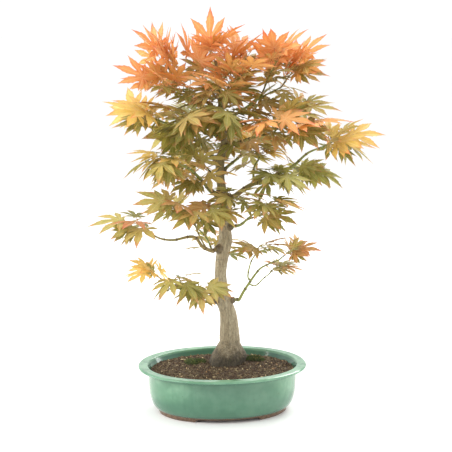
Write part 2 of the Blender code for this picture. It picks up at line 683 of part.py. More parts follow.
def make_branch(name, arms, trunk_tree, parent):
    """A branch of one or more arms in one solid. Returns the arms' lines and a BVH of the whole."""
    lines = []
    whole = bmesh.new()
    main = None
    for number, arm in enumerate(arms):
        points = [in_tree(p) for p in arm.points]
        if number == 0:
            _, collar_end, way = collar_of(arm, trunk_tree)
            start = collar_end + way * CLEARANCE
            straight = [start + way * arm.radius * reach for reach in (0.0, 0.8, 1.6)]
            points = straight + [p for p in points if (p - straight[-1]).dot(way) > arm.radius]
        else:
            start, _ = along(lines[0], arm.share)
            points = [start, *points]
        line = smooth_route(points, 2)
        radii = taper(arm.radius, arm.tip_radius, len(line))
        bm = bmesh.new()
        add_tube(bm, line, radii, BRANCH_SIDES)
        copy = bm.copy()
        mesh = bpy.data.meshes.new("part_of_branch")
        copy.to_mesh(mesh)
        copy.free()
        whole.from_mesh(mesh)
        bpy.data.meshes.remove(mesh)
        if number == 0:
            main = object_from(bm, name, "young_bark", YOUNG_BARK, parent)
        else:
            boolean(main, "UNION", helper_from(bm, f"{name}_arm_{number}", parent))
        lines.append(line)
    tree = bvh_of(whole)
    whole.free()
    return lines, tree


def make_trunk(parent):
    bm = bmesh.new()
    centres, radii = trunk_rings()
    add_tube(bm, centres, radii, TRUNK_SIDES, trunk_swell, LEVEL_RINGS)
    tree = bvh_of(bm)
    trunk = object_from(bm, "trunk", "trunk_bark", TRUNK_BARK, parent)
    for name, arms in BRANCHES.items():
        arm = arms[0]
        middle, end, _ = collar_of(arm, tree)
        collar = bmesh.new()
        add_tube(collar, [middle, end], [arm.radius * 1.7, arm.radius * 1.2], BRANCH_SIDES)
        boolean(trunk, "UNION", helper_from(collar, f"collar_{name}", parent))
    return trunk, tree


# --- Leafy shoots ---
class Leaf(NamedTuple):
    """A leaf's place: where its stalk leaves the twig, where the blade begins, the way the blade points,
    the way its upper face looks, and its length."""

    root: Vector
    base: Vector
    forward: Vector
    normal: Vector
    length: float


def place_leaf(root, heading, lift, roll, size, turn, tilt):
    stalk = direction(heading + turn, lift + tilt + STALK_LIFT)
    forward = direction(heading + turn, lift + tilt)
    upright = direction(heading + turn, lift + tilt + 90)
    normal = Matrix.Rotation(math.radians(roll), 3, forward) @ upright
    return Leaf(root, root + stalk * STALK_LENGTH * size, forward, normal, LEAF_LENGTH * size)


def leaf_roots(shoot, line):
    """Each leaf's root on the twig, with its heading, lift, roll and size."""
    single = shoot.leaves % 2
    places = [(PAIR_SHARES[0], 0.0, 0)] if single else []
    for pair in range(shoot.leaves // 2):
        rank = pair + single
        share = PAIR_SHARES[rank]
        places += [(share, PAIR_SPREADS[rank], 1), (share, PAIR_SPREADS[rank], -1)]
    for number, (share, spread, side) in enumerate(places):
        root, way = along(line, share)
        across = way.orthogonal().normalized()
        vary = math.sin(12.9 * (number + 1) + 78.2 * shoot.share + shoot.heading)
        heading = shoot.heading + side * spread
        lift = shoot.lift + 13 * vary
        roll = shoot.roll + side * 10 + 24 * math.sin(31.7 * (number + 1) + shoot.heading)
        size = shoot.size * (1.0 - 0.07 * (number // 2) + 0.05 * vary)
        yield root + across * (0.25 * TWIG_TIP_RADIUS * side), heading, lift, roll, size


def blade_outline(leaf):
    """The blade's edge, from the left side of its stalk round to the right side."""
    left = leaf.normal.cross(leaf.forward)

    def point(angle, share):
        turned = leaf.forward * math.cos(angle) + left * math.sin(angle)
        return leaf.base + (turned * share - leaf.normal * (LEAF_DROOP * share**2)) * leaf.length

    points = [leaf.base + left * (STALK_WIDTH / 2)]
    for (angle, share), (next_angle, _) in zip(LOBES, LOBES[1:]):
        points.append(point(math.radians(angle), share))
        points.append(point(math.radians((angle + next_angle) / 2), NOTCH))
    points.append(point(math.radians(LOBES[-1][0]), LOBES[-1][1]))
    points.append(leaf.base - left * (STALK_WIDTH / 2))
    return points


def add_leaf(bm, leaf, grow=0.0, stalk=True):
    """A blade, thick where its veins meet and sharp at its edge, with its stalk, as one closed shell."""
    edge = [bm.verts.new(p) for p in blade_outline(leaf)]
    hub = leaf.base + leaf.forward * leaf.length * FAN_POINT
    rise = leaf.normal * (LEAF_THICKNESS / 2 + grow)
    shift = leaf.root - leaf.base
    sides = []
    for lift in (rise, -rise):
        middle = bm.verts.new(hub + lift)
        base = bm.verts.new(leaf.base + leaf.normal * math.copysign(STALK_WIDTH / 2, lift.dot(leaf.normal)))
        around = [base, *edge]
        for k, vert in enumerate(around):
            bm.faces.new((middle, vert, around[(k + 1) % len(around)]))
        sides.append(base)
    if not stalk:
        bm.faces.new((edge[0], sides[0], edge[-1], sides[1]))
        return
    starts = [edge[0], sides[0], edge[-1], sides[1]]
    ends = [bm.verts.new(v.co + shift) for v in starts]
    for k in range(4):
        j = (k + 1) % 4
        bm.faces.new((starts[k], starts[j], ends[j], ends[k]))
    bm.faces.new(ends)


def crosses(tree, others):
    return any(tree.overlap(other) for other in others)


def twig_line(shoot, parents):
    """The twig's middle line, from just clear of its parent to its tip."""
    lines, tree = parents[shoot.parent]
    point, parent_way = along(lines[shoot.arm], min(shoot.share, 0.995))
    tip = in_tree(shoot.tip)
    girth = TWIG_RADIUS * (1 + (tip - point).length / TWIG_SPAN)
    start = start_clear(tree, point, parent_way, tip, girth, shoot.share == 1.0)
    middle = start.lerp(tip, 0.5) + Vector((0, 0, 0.04 * (tip - start).length))
    return [start, middle, tip]


def twig_radii(line):
    length = (line[-1] - line[0]).length
    return taper(TWIG_RADIUS * (1 + length / TWIG_SPAN), TWIG_TIP_RADIUS, len(line))


def make_shoot(name, shoot, line, obstacles, parent):
    """The twig with its leaves in one solid. Returns its leaves' BVHs."""
    twig = bmesh.new()
    add_tube(twig, line, twig_radii(line), TWIG_SIDES)
    leaves = bmesh.new()
    made, blades = [], []
    for root, heading, lift, roll, size in leaf_roots(shoot, line):
        for turn, tilt in TRIES:
            leaf = place_leaf(root, heading, lift, roll, size, turn, tilt)
            whole, blade = bmesh.new(), bmesh.new()
            add_leaf(whole, leaf, CLEARANCE)
            add_leaf(blade, leaf, CLEARANCE, stalk=False)
            whole_tree, blade_tree = bvh_of(whole), bvh_of(blade)
            whole.free()
            blade.free()
            if not crosses(whole_tree, obstacles) and not crosses(blade_tree, blades):
                break
        else:
            print(f"{name}: a leaf found no clear place")
        add_leaf(leaves, leaf)
        made.append(whole_tree)
        blades.append(blade_tree)
    obj = object_from(twig, name, f"leaf_{shoot.finish}", LEAF_FINISHES[shoot.finish], parent)
    boolean(obj, "UNION", helper_from(leaves, f"{name}_leaves", parent))
    return made


def make_tree(parent):
    trunk_centres, _ = trunk_line()
    _, trunk_tree = make_trunk(parent)
    parents = {"trunk": ([trunk_centres], trunk_tree)}
    for name, arms in BRANCHES.items():
        parents[name] = make_branch(f"branch_{name}", arms, trunk_tree, parent)
    wood = [tree for _, tree in parents.values()]
    lines = {name: twig_line(shoot, parents) for name, shoot in SHOOTS.items()}
    twigs = {}
    for name, line in lines.items():
        bm = bmesh.new()
        add_tube(bm, line, [radius + CLEARANCE for radius in twig_radii(line)], TWIG_SIDES)
        twigs[name] = bvh_of(bm)
        bm.free()
    leaves = []
    for name, shoot in SHOOTS.items():
        others = [tree for other, tree in twigs.items() if other != name]
        leaves += make_shoot(f"shoot_{name}", shoot, lines[name], [*wood, *others, *leaves], parent)


def centre_on_footprint(parent):
    """Moves the whole so that its box stands centred on the origin."""
    bpy.context.view_layer.update()
    graph = bpy.context.evaluated_depsgraph_get()
    corners = []
    for obj in parent.children:
        if not obj.hide_render:
            shown = obj.evaluated_get(graph)
            corners += [shown.matrix_world @ Vector(c) for c in shown.bound_box]
    for axis in (0, 1):
        values = [c[axis] for c in corners]
        parent.location[axis] = -(min(values) + max(values)) / 2


def main():
    clear_scene()
    bonsai = bpy.data.objects.new("bonsai", None)
    bpy.context.scene.collection.objects.link(bonsai)
    make_pot(bonsai)
    make_screen("drain_screen_left", -1, bonsai)
    make_screen("drain_screen_right", 1, bonsai)
    make_soil(bonsai)
    make_moss("moss_left", (-0.040, 0.020), 0.014, 0.010, 0.0, bonsai)
    make_moss("moss_right", (0.052, 0.028), 0.013, 0.010, 1.5, bonsai)
    make_tree(bonsai)
    centre_on_footprint(bonsai)


main()
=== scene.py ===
"""Japanese maple bonsai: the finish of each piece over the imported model, laid out as a Blender add-on.

Everything is in metres, +Z up. The tree's routes are drawn round the pot's vertical axis, from the top of the
soil, and are moved to the pot's place when a piece is made.
"""

import functools
import json
import math
import random
from typing import NamedTuple

import bmesh
import bpy
from mathutils import Matrix, Vector, noise
from mathutils.bvhtree import BVHTree
from mathutils.kdtree import KDTree

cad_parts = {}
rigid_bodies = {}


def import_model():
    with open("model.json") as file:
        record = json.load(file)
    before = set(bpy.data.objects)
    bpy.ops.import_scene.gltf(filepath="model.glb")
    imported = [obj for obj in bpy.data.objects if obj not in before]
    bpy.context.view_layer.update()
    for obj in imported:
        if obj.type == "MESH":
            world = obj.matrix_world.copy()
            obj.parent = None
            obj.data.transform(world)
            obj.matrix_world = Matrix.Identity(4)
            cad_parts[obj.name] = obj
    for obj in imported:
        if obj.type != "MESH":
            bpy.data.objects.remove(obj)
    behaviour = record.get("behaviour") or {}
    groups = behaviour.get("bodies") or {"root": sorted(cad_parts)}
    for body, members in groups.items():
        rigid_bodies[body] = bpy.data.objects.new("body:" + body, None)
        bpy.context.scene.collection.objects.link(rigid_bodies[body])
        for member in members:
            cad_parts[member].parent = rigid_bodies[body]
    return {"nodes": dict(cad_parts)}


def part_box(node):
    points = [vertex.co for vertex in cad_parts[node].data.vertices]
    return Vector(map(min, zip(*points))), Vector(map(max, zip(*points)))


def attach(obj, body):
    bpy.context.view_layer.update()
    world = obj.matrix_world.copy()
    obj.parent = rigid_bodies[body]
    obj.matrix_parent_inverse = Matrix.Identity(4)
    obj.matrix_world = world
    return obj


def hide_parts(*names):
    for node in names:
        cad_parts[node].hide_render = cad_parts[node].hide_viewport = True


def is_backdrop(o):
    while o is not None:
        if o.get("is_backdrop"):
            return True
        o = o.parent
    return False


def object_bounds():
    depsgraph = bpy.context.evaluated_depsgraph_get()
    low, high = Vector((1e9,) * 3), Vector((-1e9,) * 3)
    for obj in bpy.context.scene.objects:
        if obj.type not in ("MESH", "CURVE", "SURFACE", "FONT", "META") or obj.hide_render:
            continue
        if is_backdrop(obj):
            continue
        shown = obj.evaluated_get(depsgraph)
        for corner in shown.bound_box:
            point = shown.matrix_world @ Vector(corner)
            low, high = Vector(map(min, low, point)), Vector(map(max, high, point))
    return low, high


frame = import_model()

bl_info = {
    "name": "Maple Bonsai",
    "version": (1, 0, 0),
    "blender": (4, 5, 0),
    "location": "3D View > Sidebar > Bonsai",
    "description": "Finishes a Japanese maple bonsai in an oval glazed pot, piece by piece",
    "category": "Add Mesh",
}

CAD_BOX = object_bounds()
POT_LOW, POT_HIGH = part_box("pot")
POT_PLACE = Vector(((POT_LOW.x + POT_HIGH.x) / 2, (POT_LOW.y + POT_HIGH.y) / 2, 0.0))

# --- The pot's sizes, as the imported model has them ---
POT_LENGTH = 0.250
POT_DEPTH = 0.200
POT_HEIGHT = 0.070
OVAL_POWER = 2.1
LIP_WIDTH = 0.0145
LIP_THICKNESS = 0.0050
WALL = 0.0070
FLOOR = 0.0080
LIP_OVERHANG = 0.0150
BELLY_TUCK = 0.0118
FOOT_RING_HEIGHT = 0.0065
FOOT_RING_WIDTH = 0.0100
ARCH_HEIGHT = 0.0043
FRONT_ARCH = 0.096
END_ARCH = 0.030
ARCH_SLOPE = 0.0040
DRAIN_RADIUS = 0.0090
DRAIN_OFFSET = 0.0420
FLOOR_TOP = FOOT_RING_HEIGHT + FLOOR

# --- The soil's and the tree's sizes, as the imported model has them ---
CLEARANCE = 0.0003
SOIL_DROP = 0.0090
SOIL_MOUND = 0.0055
SOIL_EDGE_Z = POT_HEIGHT - SOIL_DROP
SOIL_Z = SOIL_EDGE_Z + SOIL_MOUND
TREE_HEIGHT = 0.450
ROOT_DEPTH = 0.0240
ROOT_BULGE = 1.0
TRUNK_THICKNESS = 1.0
TRUNK_SIDES = 12
LEVEL_RINGS = 6
BRANCH_SIDES = 6
TWIG_SIDES = 5
COLLAR_LENGTH = 0.0045
TWIG_RADIUS = 0.0010
TWIG_TIP_RADIUS = 0.0007
TWIG_SPAN = 0.150
LEAF_LENGTH = 0.042
LEAF_THICKNESS = 0.0010
LEAF_DROOP = 0.14
STALK_LENGTH = 0.020
STALK_WIDTH = 0.0011

# --- Settings ---
def srgb(red, green, blue):
    """A colour given out of 255, as the linear values a shader takes."""
    shares = (red / 255, green / 255, blue / 255)
    return tuple(v / 12.92 if v <= 0.04045 else ((v + 0.055) / 1.055) ** 2.4 for v in shares)


# Shades that the settings don't hold.
GLAZE_SPECK, FIRED_CLAY, SCREEN_DUST = srgb(70, 80, 60), srgb(126, 100, 78), srgb(96, 74, 54)
BROWN_EARTH, WET_EARTH = srgb(88, 62, 42), srgb(40, 28, 20)
STAINED_CHIP, CHIP_GRAIN, DRY_MOSS = srgb(150, 116, 76), srgb(110, 84, 56), srgb(150, 130, 70)
GREEN_BARK, MOSSY_BARK, PALE_SCAR = srgb(150, 140, 98), srgb(92, 104, 62), srgb(128, 108, 78)
# The last of these darkens the bark towards the soil.
DARK_KNOB, PALE_KNOB, BARK_NEAR_SOIL = srgb(54, 47, 36), srgb(112, 100, 78), srgb(48, 43, 32)
PALE_TWIG, OLD_TWIG, RED_TWIG, TWIG_SPECK = (
    srgb(150, 150, 84), srgb(140, 122, 86), srgb(142, 92, 66), srgb(176, 168, 122)
)
RED_STALK, DULL_STALK = srgb(196, 104, 78), srgb(140, 138, 70)
FLOOR_CLOUD = srgb(249, 249, 248)


def colour(name, description, *levels):
    return bpy.props.FloatVectorProperty(
        name=name, description=description, default=srgb(*levels), size=3, subtype="COLOR", min=0.0, max=1.0,
    )


def length(name, description, default, low, high):
    return bpy.props.FloatProperty(
        name=name, description=description, default=default, min=low, max=high, subtype="DISTANCE",
        unit="LENGTH", precision=4,
    )


def share(name, description, default, high=1.0):
    return bpy.props.FloatProperty(
        name=name, description=description, default=default, min=0.0, max=high, subtype="FACTOR",
    )


def power(name, description, default):
    return bpy.props.FloatProperty(
        name=name, description=description, default=default, min=0.0, max=500.0, subtype="POWER",
        unit="POWER",
    )


def count(name, description, default, low, high):
    return bpy.props.IntProperty(name=name, description=description, default=default, min=low, max=high)


class PotSettings(bpy.types.PropertyGroup):
    """The glazed pot and the screens over its drain holes."""

    sides: count("Sides", "Faces round the pot", 240, 96, 480)
    glaze: colour("Glaze", "The glaze on the pot's body", 86, 132, 103)
    # Also laid along the lip's top edge, partly as a painted highlight.
    glaze_thin_and_highlight: colour("Thin glaze", "The paler glaze where it thins over an edge", 140, 184, 152)
    # Also laid under the lip and above the foot, partly as painted shade, and inside the rim as painted
    # shade.
    glaze_deep_and_shade: colour("Deep glaze", "The darker glaze where it gathers", 58, 102, 82)
    clay: colour("Clay", "The bare clay of the feet", 92, 70, 54)
    streaks: share("Streaks", "How strongly the glaze runs in streaks", 0.22)
    plastic: colour("Screen plastic", "The drain screens", 24, 24, 25)


class SoilSettings(bpy.types.PropertyGroup):
    """The soil and its loose granules."""

    granule: length("Granule", "Width of a large granule", 0.0042, 0.001, 0.008)
    crumb: length("Crumb", "Width of a small crumb", 0.0018, 0.0005, 0.004)
    granules: count("Granules", "Large granules for each square metre", 88000, 0, 400000)
    crumbs: count("Crumbs", "Small crumbs for each square metre", 150000, 0, 600000)
    chips: count("Chips", "Pale chips for each square metre", 7500, 0, 50000)
    earth: colour("Earth", "Moist soil", 46, 40, 28)
    dry_earth: colour("Dry earth", "Drier granules", 122, 108, 80)
    chip: colour("Chip", "Pale chips of bark and grit", 222, 204, 158)


class MossSettings(bpy.types.PropertyGroup):
    """The moss beside the trunk."""

    tuft: length("Tuft", "Length of a tuft", 0.0074, 0.001, 0.01)
    tufts: count("Tufts", "Tufts for each square metre", 1900000, 0, 5000000)
    # Painted shade, laid on the cushion between the tufts and on the darker tufts.
    shade: colour("Shade", "Moss deep between its tufts", 30, 38, 16)
    tip: colour("Tip", "The ends of the tufts", 96, 114, 44)


class BarkSettings(bpy.types.PropertyGroup):
    """The trunk and its branches."""

    voxel: length("Voxel", "Size of the trunk's faces", 0.0008, 0.0005, 0.003)
    ridge: length("Ridge", "Height of the bark's ridges", 0.00045, 0.0, 0.003)
    bark: colour("Bark", "The lower trunk", 156, 142, 114)
    # In the furrows this is partly painted shade; on the scars and in the rings it is the bark's own colour.
    bark_dark_and_shade: colour("Dark bark", "Furrows, scars and the knob at the soil", 84, 74, 60)
    # A painted highlight, laid on the bump's ridges.
    bark_highlight: colour("Pale bark", "Ridges that catch the light", 190, 178, 150)
    upper_bark: colour("Upper bark", "The trunk between the upper branches", 118, 108, 66)
    young_bark: colour("Young bark", "Branches and twigs", 122, 132, 62)
    node_bark: colour("Node bark", "The joints of branches and twigs", 82, 58, 44)
    joint_gap: length("Joint gap", "Distance between a branch's joints", 0.017, 0.005, 0.05)


class LeafSettings(bpy.types.PropertyGroup):
    """The leaves."""

    lobe_width: share("Lobe width", "Half the widest part of the middle lobe, against its length", 0.140, 0.3)
    teeth: count("Teeth", "Teeth on each side of a lobe", 5, 1, 8)
    tooth_depth: share("Tooth depth", "How deep the teeth are, against the lobe's width", 0.13, 0.4)
    blade: length("Blade", "Thickness of a blade", 0.0003, 0.0001, 0.001)
    glow: share("Glow", "How much light comes through a blade", 0.45)
    fillers: count("Inner leaves", "Small leaves added inside each upper shoot", 12, 0, 20)
    spurs: share("Spur leaves", "Leaves on the upper branches' own wood, against the full number", 1.0)
    few_fillers: count("Low inner leaves", "Small leaves added inside each low shoot", 4, 0, 20)
    orange: colour("Orange", "Top leaves", 238, 200, 130)
    orange_tip: colour("Orange tip", "The ends of the top leaves", 224, 106, 86)
    salmon: colour("Salmon", "Low leaves", 212, 202, 130)
    salmon_tip: colour("Salmon tip", "The ends of the low leaves", 216, 108, 84)
    # Painted backlight: a lighter, yellower copy of the leaf colour for the shoots with light behind them.
    yellow: colour("Yellow", "Leaves with light behind them", 232, 212, 134)
    yellow_tip: colour("Yellow tip", "The ends of these leaves", 236, 152, 100)
    olive: colour("Olive", "Middle leaves", 200, 190, 112)
    olive_tip: colour("Olive tip", "The ends of the middle leaves", 208, 116, 84)
    green: colour("Green", "Inner leaves", 202, 200, 122)
    green_tip: colour("Green tip", "The ends of the inner leaves", 206, 138, 92)
    # Painted shade: a darker leaf colour laid on leaves of low tone, under their shoot's tip and among the
    # added ones.
    shade: colour("Shaded leaf", "The leaves inside the crown", 150, 150, 74)
    stalk: colour("Stalk", "Leaf stalks", 168, 150, 84)


class StageSettings(bpy.types.PropertyGroup):
    """The floor, the lights and the camera."""

    floor: colour("Floor", "The floor", 252, 252, 251)
    sky: bpy.props.FloatProperty(name="Sky", description="Strength of the light from all round", default=1.06,
                                 min=0.0, max=4.0)
    key: power("Key light", "Power of the main light", 22.0)
    rim: power("Rim light", "Power of the light from behind", 26.0)
    side: power("Side lights", "Power of each low side light", 12.0)
    lens: bpy.props.FloatProperty(name="Lens", description="The camera's focal length", default=99.7,
                                  min=20.0, max=300.0, subtype="DISTANCE_CAMERA", unit="CAMERA")


SETTINGS = {
    "bonsai_pot": PotSettings,
    "bonsai_soil": SoilSettings,
    "bonsai_moss": MossSettings,
    "bonsai_bark": BarkSettings,
    "bonsai_leaf": LeafSettings,
    "bonsai_stage": StageSettings,
}


# --- Meshes and pieces ---
class Shape:
    """A mesh in the making: its points, its faces, each face's material number and a mark at each point."""

    def __init__(self):
        self.points, self.faces, self.slots, self.marks, self.tones = [], [], [], [], []

    def add(self, points, faces, slot=0, marks=None, tone=0.5):
        start = len(self.points)
        self.points += points
        self.faces += [tuple(start + i for i in face) for face in faces]
        self.slots += [slot] * len(faces)
        self.marks += marks or [(0.0, 0.0, 0.0)] * len(points)
        self.tones += [tone] * len(points)


def mesh_of(shape, name, closed=True):
    """The shape as a mesh in its place, with its marks and tones as attributes. Unless it is an open surface,
    its faces are turned outwards."""
    mesh = bpy.data.meshes.new(name)
    mesh.from_pydata([p + POT_PLACE for p in shape.points], [], shape.faces)
    mesh.polygons.foreach_set("material_index", shape.slots)
    mark = mesh.attributes.new("mark", "FLOAT_VECTOR", "POINT")
    mark.data.foreach_set("vector", [v for m in shape.marks for v in m])
    tone = mesh.attributes.new("tone", "FLOAT", "POINT")
    tone.data.foreach_set("value", shape.tones)
    if closed:
        bm = bmesh.new()
        bm.from_mesh(mesh)
        bmesh.ops.recalc_face_normals(bm, faces=bm.faces)
        bm.to_mesh(mesh)
        bm.free()
    return mesh


def add_object(mesh, name):
    obj = bpy.data.objects.new(name, mesh)
    bpy.context.scene.collection.objects.link(obj)
    return obj


def evaluated(obj, name):
    """The object's mesh with its modifiers applied, as a new object that takes its place."""
    bpy.context.view_layer.update()
    graph = bpy.context.evaluated_depsgraph_get()
    mesh = bpy.data.meshes.new_from_object(obj.evaluated_get(graph))
    mesh.name = name
    bpy.data.objects.remove(obj)
    return add_object(mesh, name)


def finish_piece(obj, materials, slot, *nodes, sharp=40):
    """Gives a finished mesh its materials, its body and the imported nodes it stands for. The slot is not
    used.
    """
    if not obj.data.polygons:
        raise RuntimeError(f"{obj.name} came out empty")
    for material in materials:
        obj.data.materials.append(material)
    obj.data.shade_smooth()
    obj.data.set_sharp_from_angle(angle=math.radians(sharp))
    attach(obj, "root")
    if nodes:
        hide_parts(*nodes)


def skin(rings, bottom=None, top=None):
    """Points and faces over rings of points, closed by fans to the bottom point, the top point or both."""
    sides = len(rings[0])
    points = [p for ring in rings for p in ring]
    faces = [
        (low + k, low + (k + 1) % sides, low + sides + (k + 1) % sides, low + sides + k)
        for low in range(0, len(points) - sides, sides) for k in range(sides)
    ]
    for start, middle in ((0, bottom), (len(points) - sides, top)):
        if middle is not None:
            pairs = [(start + k, start + (k + 1) % sides) for k in range(sides)]
            faces += [(*(pair if start else pair[::-1]), len(points)) for pair in pairs]
            points.append(middle)
    return points, faces


def tube_rings(line, radii, sides, swell=None, level=0):
    """Rings of points round a line. swell(ring number, angle) multiplies the radius, and the first rings, as
    many as level says, lie level."""
    last = len(line) - 1
    ways = [(line[min(i + 1, last)] - line[max(i - 1, 0)]).normalized() for i in range(last + 1)]
    ways[:level] = [Vector((0, 0, 1))] * level
    side = ways[0].orthogonal().normalized()
    rings = []
    for i, (centre, radius, way) in enumerate(zip(line, radii, ways)):
        if i:
            side = ways[i - 1].rotation_difference(way) @ side
        across = way.cross(side)
        ring = []
        for k in range(sides):
            angle = math.tau * k / sides
            reach = radius * (swell(i, angle) if swell else 1.0)
            ring.append(centre + (side * math.cos(angle) + across * math.sin(angle)) * reach)
        rings.append(ring)
    return rings


def tube(line, radii, sides):
    """Points and faces of a closed tube along a line, with blunt ends."""
    start = line[0] - (line[1] - line[0]).normalized() * radii[0] * 0.5
    end = line[-1] + (line[-1] - line[-2]).normalized() * radii[-1] * 0.5
    return skin(tube_rings(line, radii, sides), start, end)


def bell(distance, width):
    return math.exp(-((distance / width) ** 2))


def smoothstep(low, high, value):
    t = min(1.0, max(0.0, (value - low) / (high - low)))
    return t * t * (3 - 2 * t)


# --- Materials ---
class Graph:
    """A node tree in the making."""

    def __init__(self, tree):
        self.tree = tree

    def node(self, kind, inputs=(), **settings):
        made = self.tree.nodes.new(kind)
        for name, value in settings.items():
            setattr(made, name, value)
        for socket, value in dict(inputs).items():
            self.join(value, made.inputs[socket])
        return made

    def join(self, value, socket):
        if isinstance(value, bpy.types.NodeSocket):
            self.tree.links.new(value, socket)
        elif socket.type == "RGBA" and len(value) == 3:
            socket.default_value = (*value, 1.0)
        else:
            socket.default_value = value


class Finish(Graph):
    """A Principled material in the making, with short ways to add and join its nodes."""

    def __init__(self, name, roughness=0.6, **sockets):
        self.material = bpy.data.materials.new(name)
        self.material.use_nodes = True
        super().__init__(self.material.node_tree)
        self.shader = self.tree.nodes["Principled BSDF"]
        self.shader.inputs["Roughness"].default_value = roughness
        for socket, value in sockets.items():
            self.shader.inputs[socket.replace("_", " ")].default_value = value
        self.place = self.node("ShaderNodeTexCoord").outputs["Object"]

    def math(self, operation, *values):
        return self.node("ShaderNodeMath", dict(enumerate(values)), operation=operation).outputs[0]

    def times(self, first, second):
        return self.math("MULTIPLY", first, second)

    def plus(self, first, second):
        return self.math("ADD", first, second)

    def minus(self, first, second):
        return self.math("SUBTRACT", first, second)

    def waver(self, value, cloud, reach):
        """The value, moved up and down by a cloud of noise, half of the reach each way."""
        return self.plus(value, self.times(self.minus(cloud, 0.5), reach))

    def noise(self, scale, detail=3.0, stretch=None, rough=0.55):
        """Noise at a scale in lumps for each metre, drawn out by stretch."""
        place = self.place
        if stretch:
            place = self.node("ShaderNodeMapping", {"Vector": place, "Scale": stretch}).outputs[0]
        made = self.node("ShaderNodeTexNoise", {"Vector": place, "Scale": scale, "Detail": detail,
                                                "Roughness": rough})
        return made.outputs["Fac"]

    def step(self, value, low, high):
        """0 below low, 1 above high and smooth between. It falls if high is under low."""
        made = self.node("ShaderNodeMapRange", {"Value": value, "From Min": low, "From Max": high},
                         interpolation_type="SMOOTHSTEP")
        return made.outputs["Result"]

    def vector(self, operation, *values):
        return self.node("ShaderNodeVectorMath", dict(enumerate(values)), operation=operation).outputs

    def mix(self, factor, first, second):
        made = self.node("ShaderNodeMix", data_type="RGBA", clamp_factor=True)
        self.join(factor, made.inputs["Factor"])
        self.join(first, made.inputs[6])
        self.join(second, made.inputs[7])
        return made.outputs[2]

    def lay(self, base, colour, where, strength):
        """Lays a colour over the base where the mask says, at most as strongly as strength."""
        return self.mix(self.times(where, strength), base, colour)

    def marks(self):
        """The three values of the point's mark, and its tone."""
        mark = self.node("ShaderNodeAttribute", attribute_name="mark").outputs
        tone = self.node("ShaderNodeAttribute", attribute_name="tone").outputs
        parts = self.node("ShaderNodeSeparateXYZ", {"Vector": mark["Vector"]})
        return (*parts.outputs, tone["Fac"])

    def height(self):
        return self.node("ShaderNodeSeparateXYZ", {"Vector": self.place}).outputs["Z"]

    def bump(self, height, depth, strength=1.0):
        made = self.node("ShaderNodeBump", {"Height": height, "Distance": depth, "Strength": strength})
        self.join(made.outputs["Normal"], self.shader.inputs["Normal"])

    def paint(self, base, roughness=None):
        self.join(base, self.shader.inputs["Base Color"])
        if roughness is not None:
            self.join(roughness, self.shader.inputs["Roughness"])
        return self.material


class Arm(NamedTuple):
    """A bare stem: where it springs from its parent, as a share of the parent's length, the points it goes
    through in the tree's frame, and its radius at both ends."""

    share: float
    points: tuple
    radius: float
    tip_radius: float


class Shoot(NamedTuple):
    """A leafy twig: its parent and arm, the share of that arm's length it springs at, its tip, the way its
    leaves fan out (heading, 0 is +X and 90 is +Y; lift above the horizon; roll about that way), how many
    leaves, how large against LEAF_LENGTH, and their colour."""

    parent: str
    arm: int
    share: float
    tip: tuple
    heading: float
    lift: float
    roll: float
    leaves: int
    size: float
    finish: str


# The trunk's middle line and radius: x, y, height above the soil, radius.
TRUNK_LINE = (
    (0.006, 0.015, 0.000, 0.0270),
    (0.009, 0.015, 0.010, 0.0245),
    (0.011, 0.015, 0.021, 0.0188),
    (0.012, 0.015, 0.038, 0.0150),
    (0.011, 0.014, 0.066, 0.0128),
    (0.008, 0.013, 0.082, 0.0116),
    (0.001, 0.012, 0.102, 0.0110),
    (-0.001, 0.012, 0.124, 0.0095),
    (-0.001, 0.012, 0.142, 0.0087),
    (0.001, 0.012, 0.160, 0.0092),
    (0.006, 0.012, 0.185, 0.0098),
    (0.005, 0.011, 0.205, 0.0088),
    (0.004, 0.010, 0.225, 0.0080),
    (0.001, 0.010, 0.258, 0.0068),
    (-0.002, 0.010, 0.280, 0.0064),
    (-0.002, 0.008, 0.304, 0.0062),
    (0.004, 0.006, 0.335, 0.0050),
    (0.001, 0.004, 0.367, 0.0040),
    (-0.006, 0.001, 0.410, 0.0030),
    (-0.010, -0.004, 0.450, 0.0021),
)

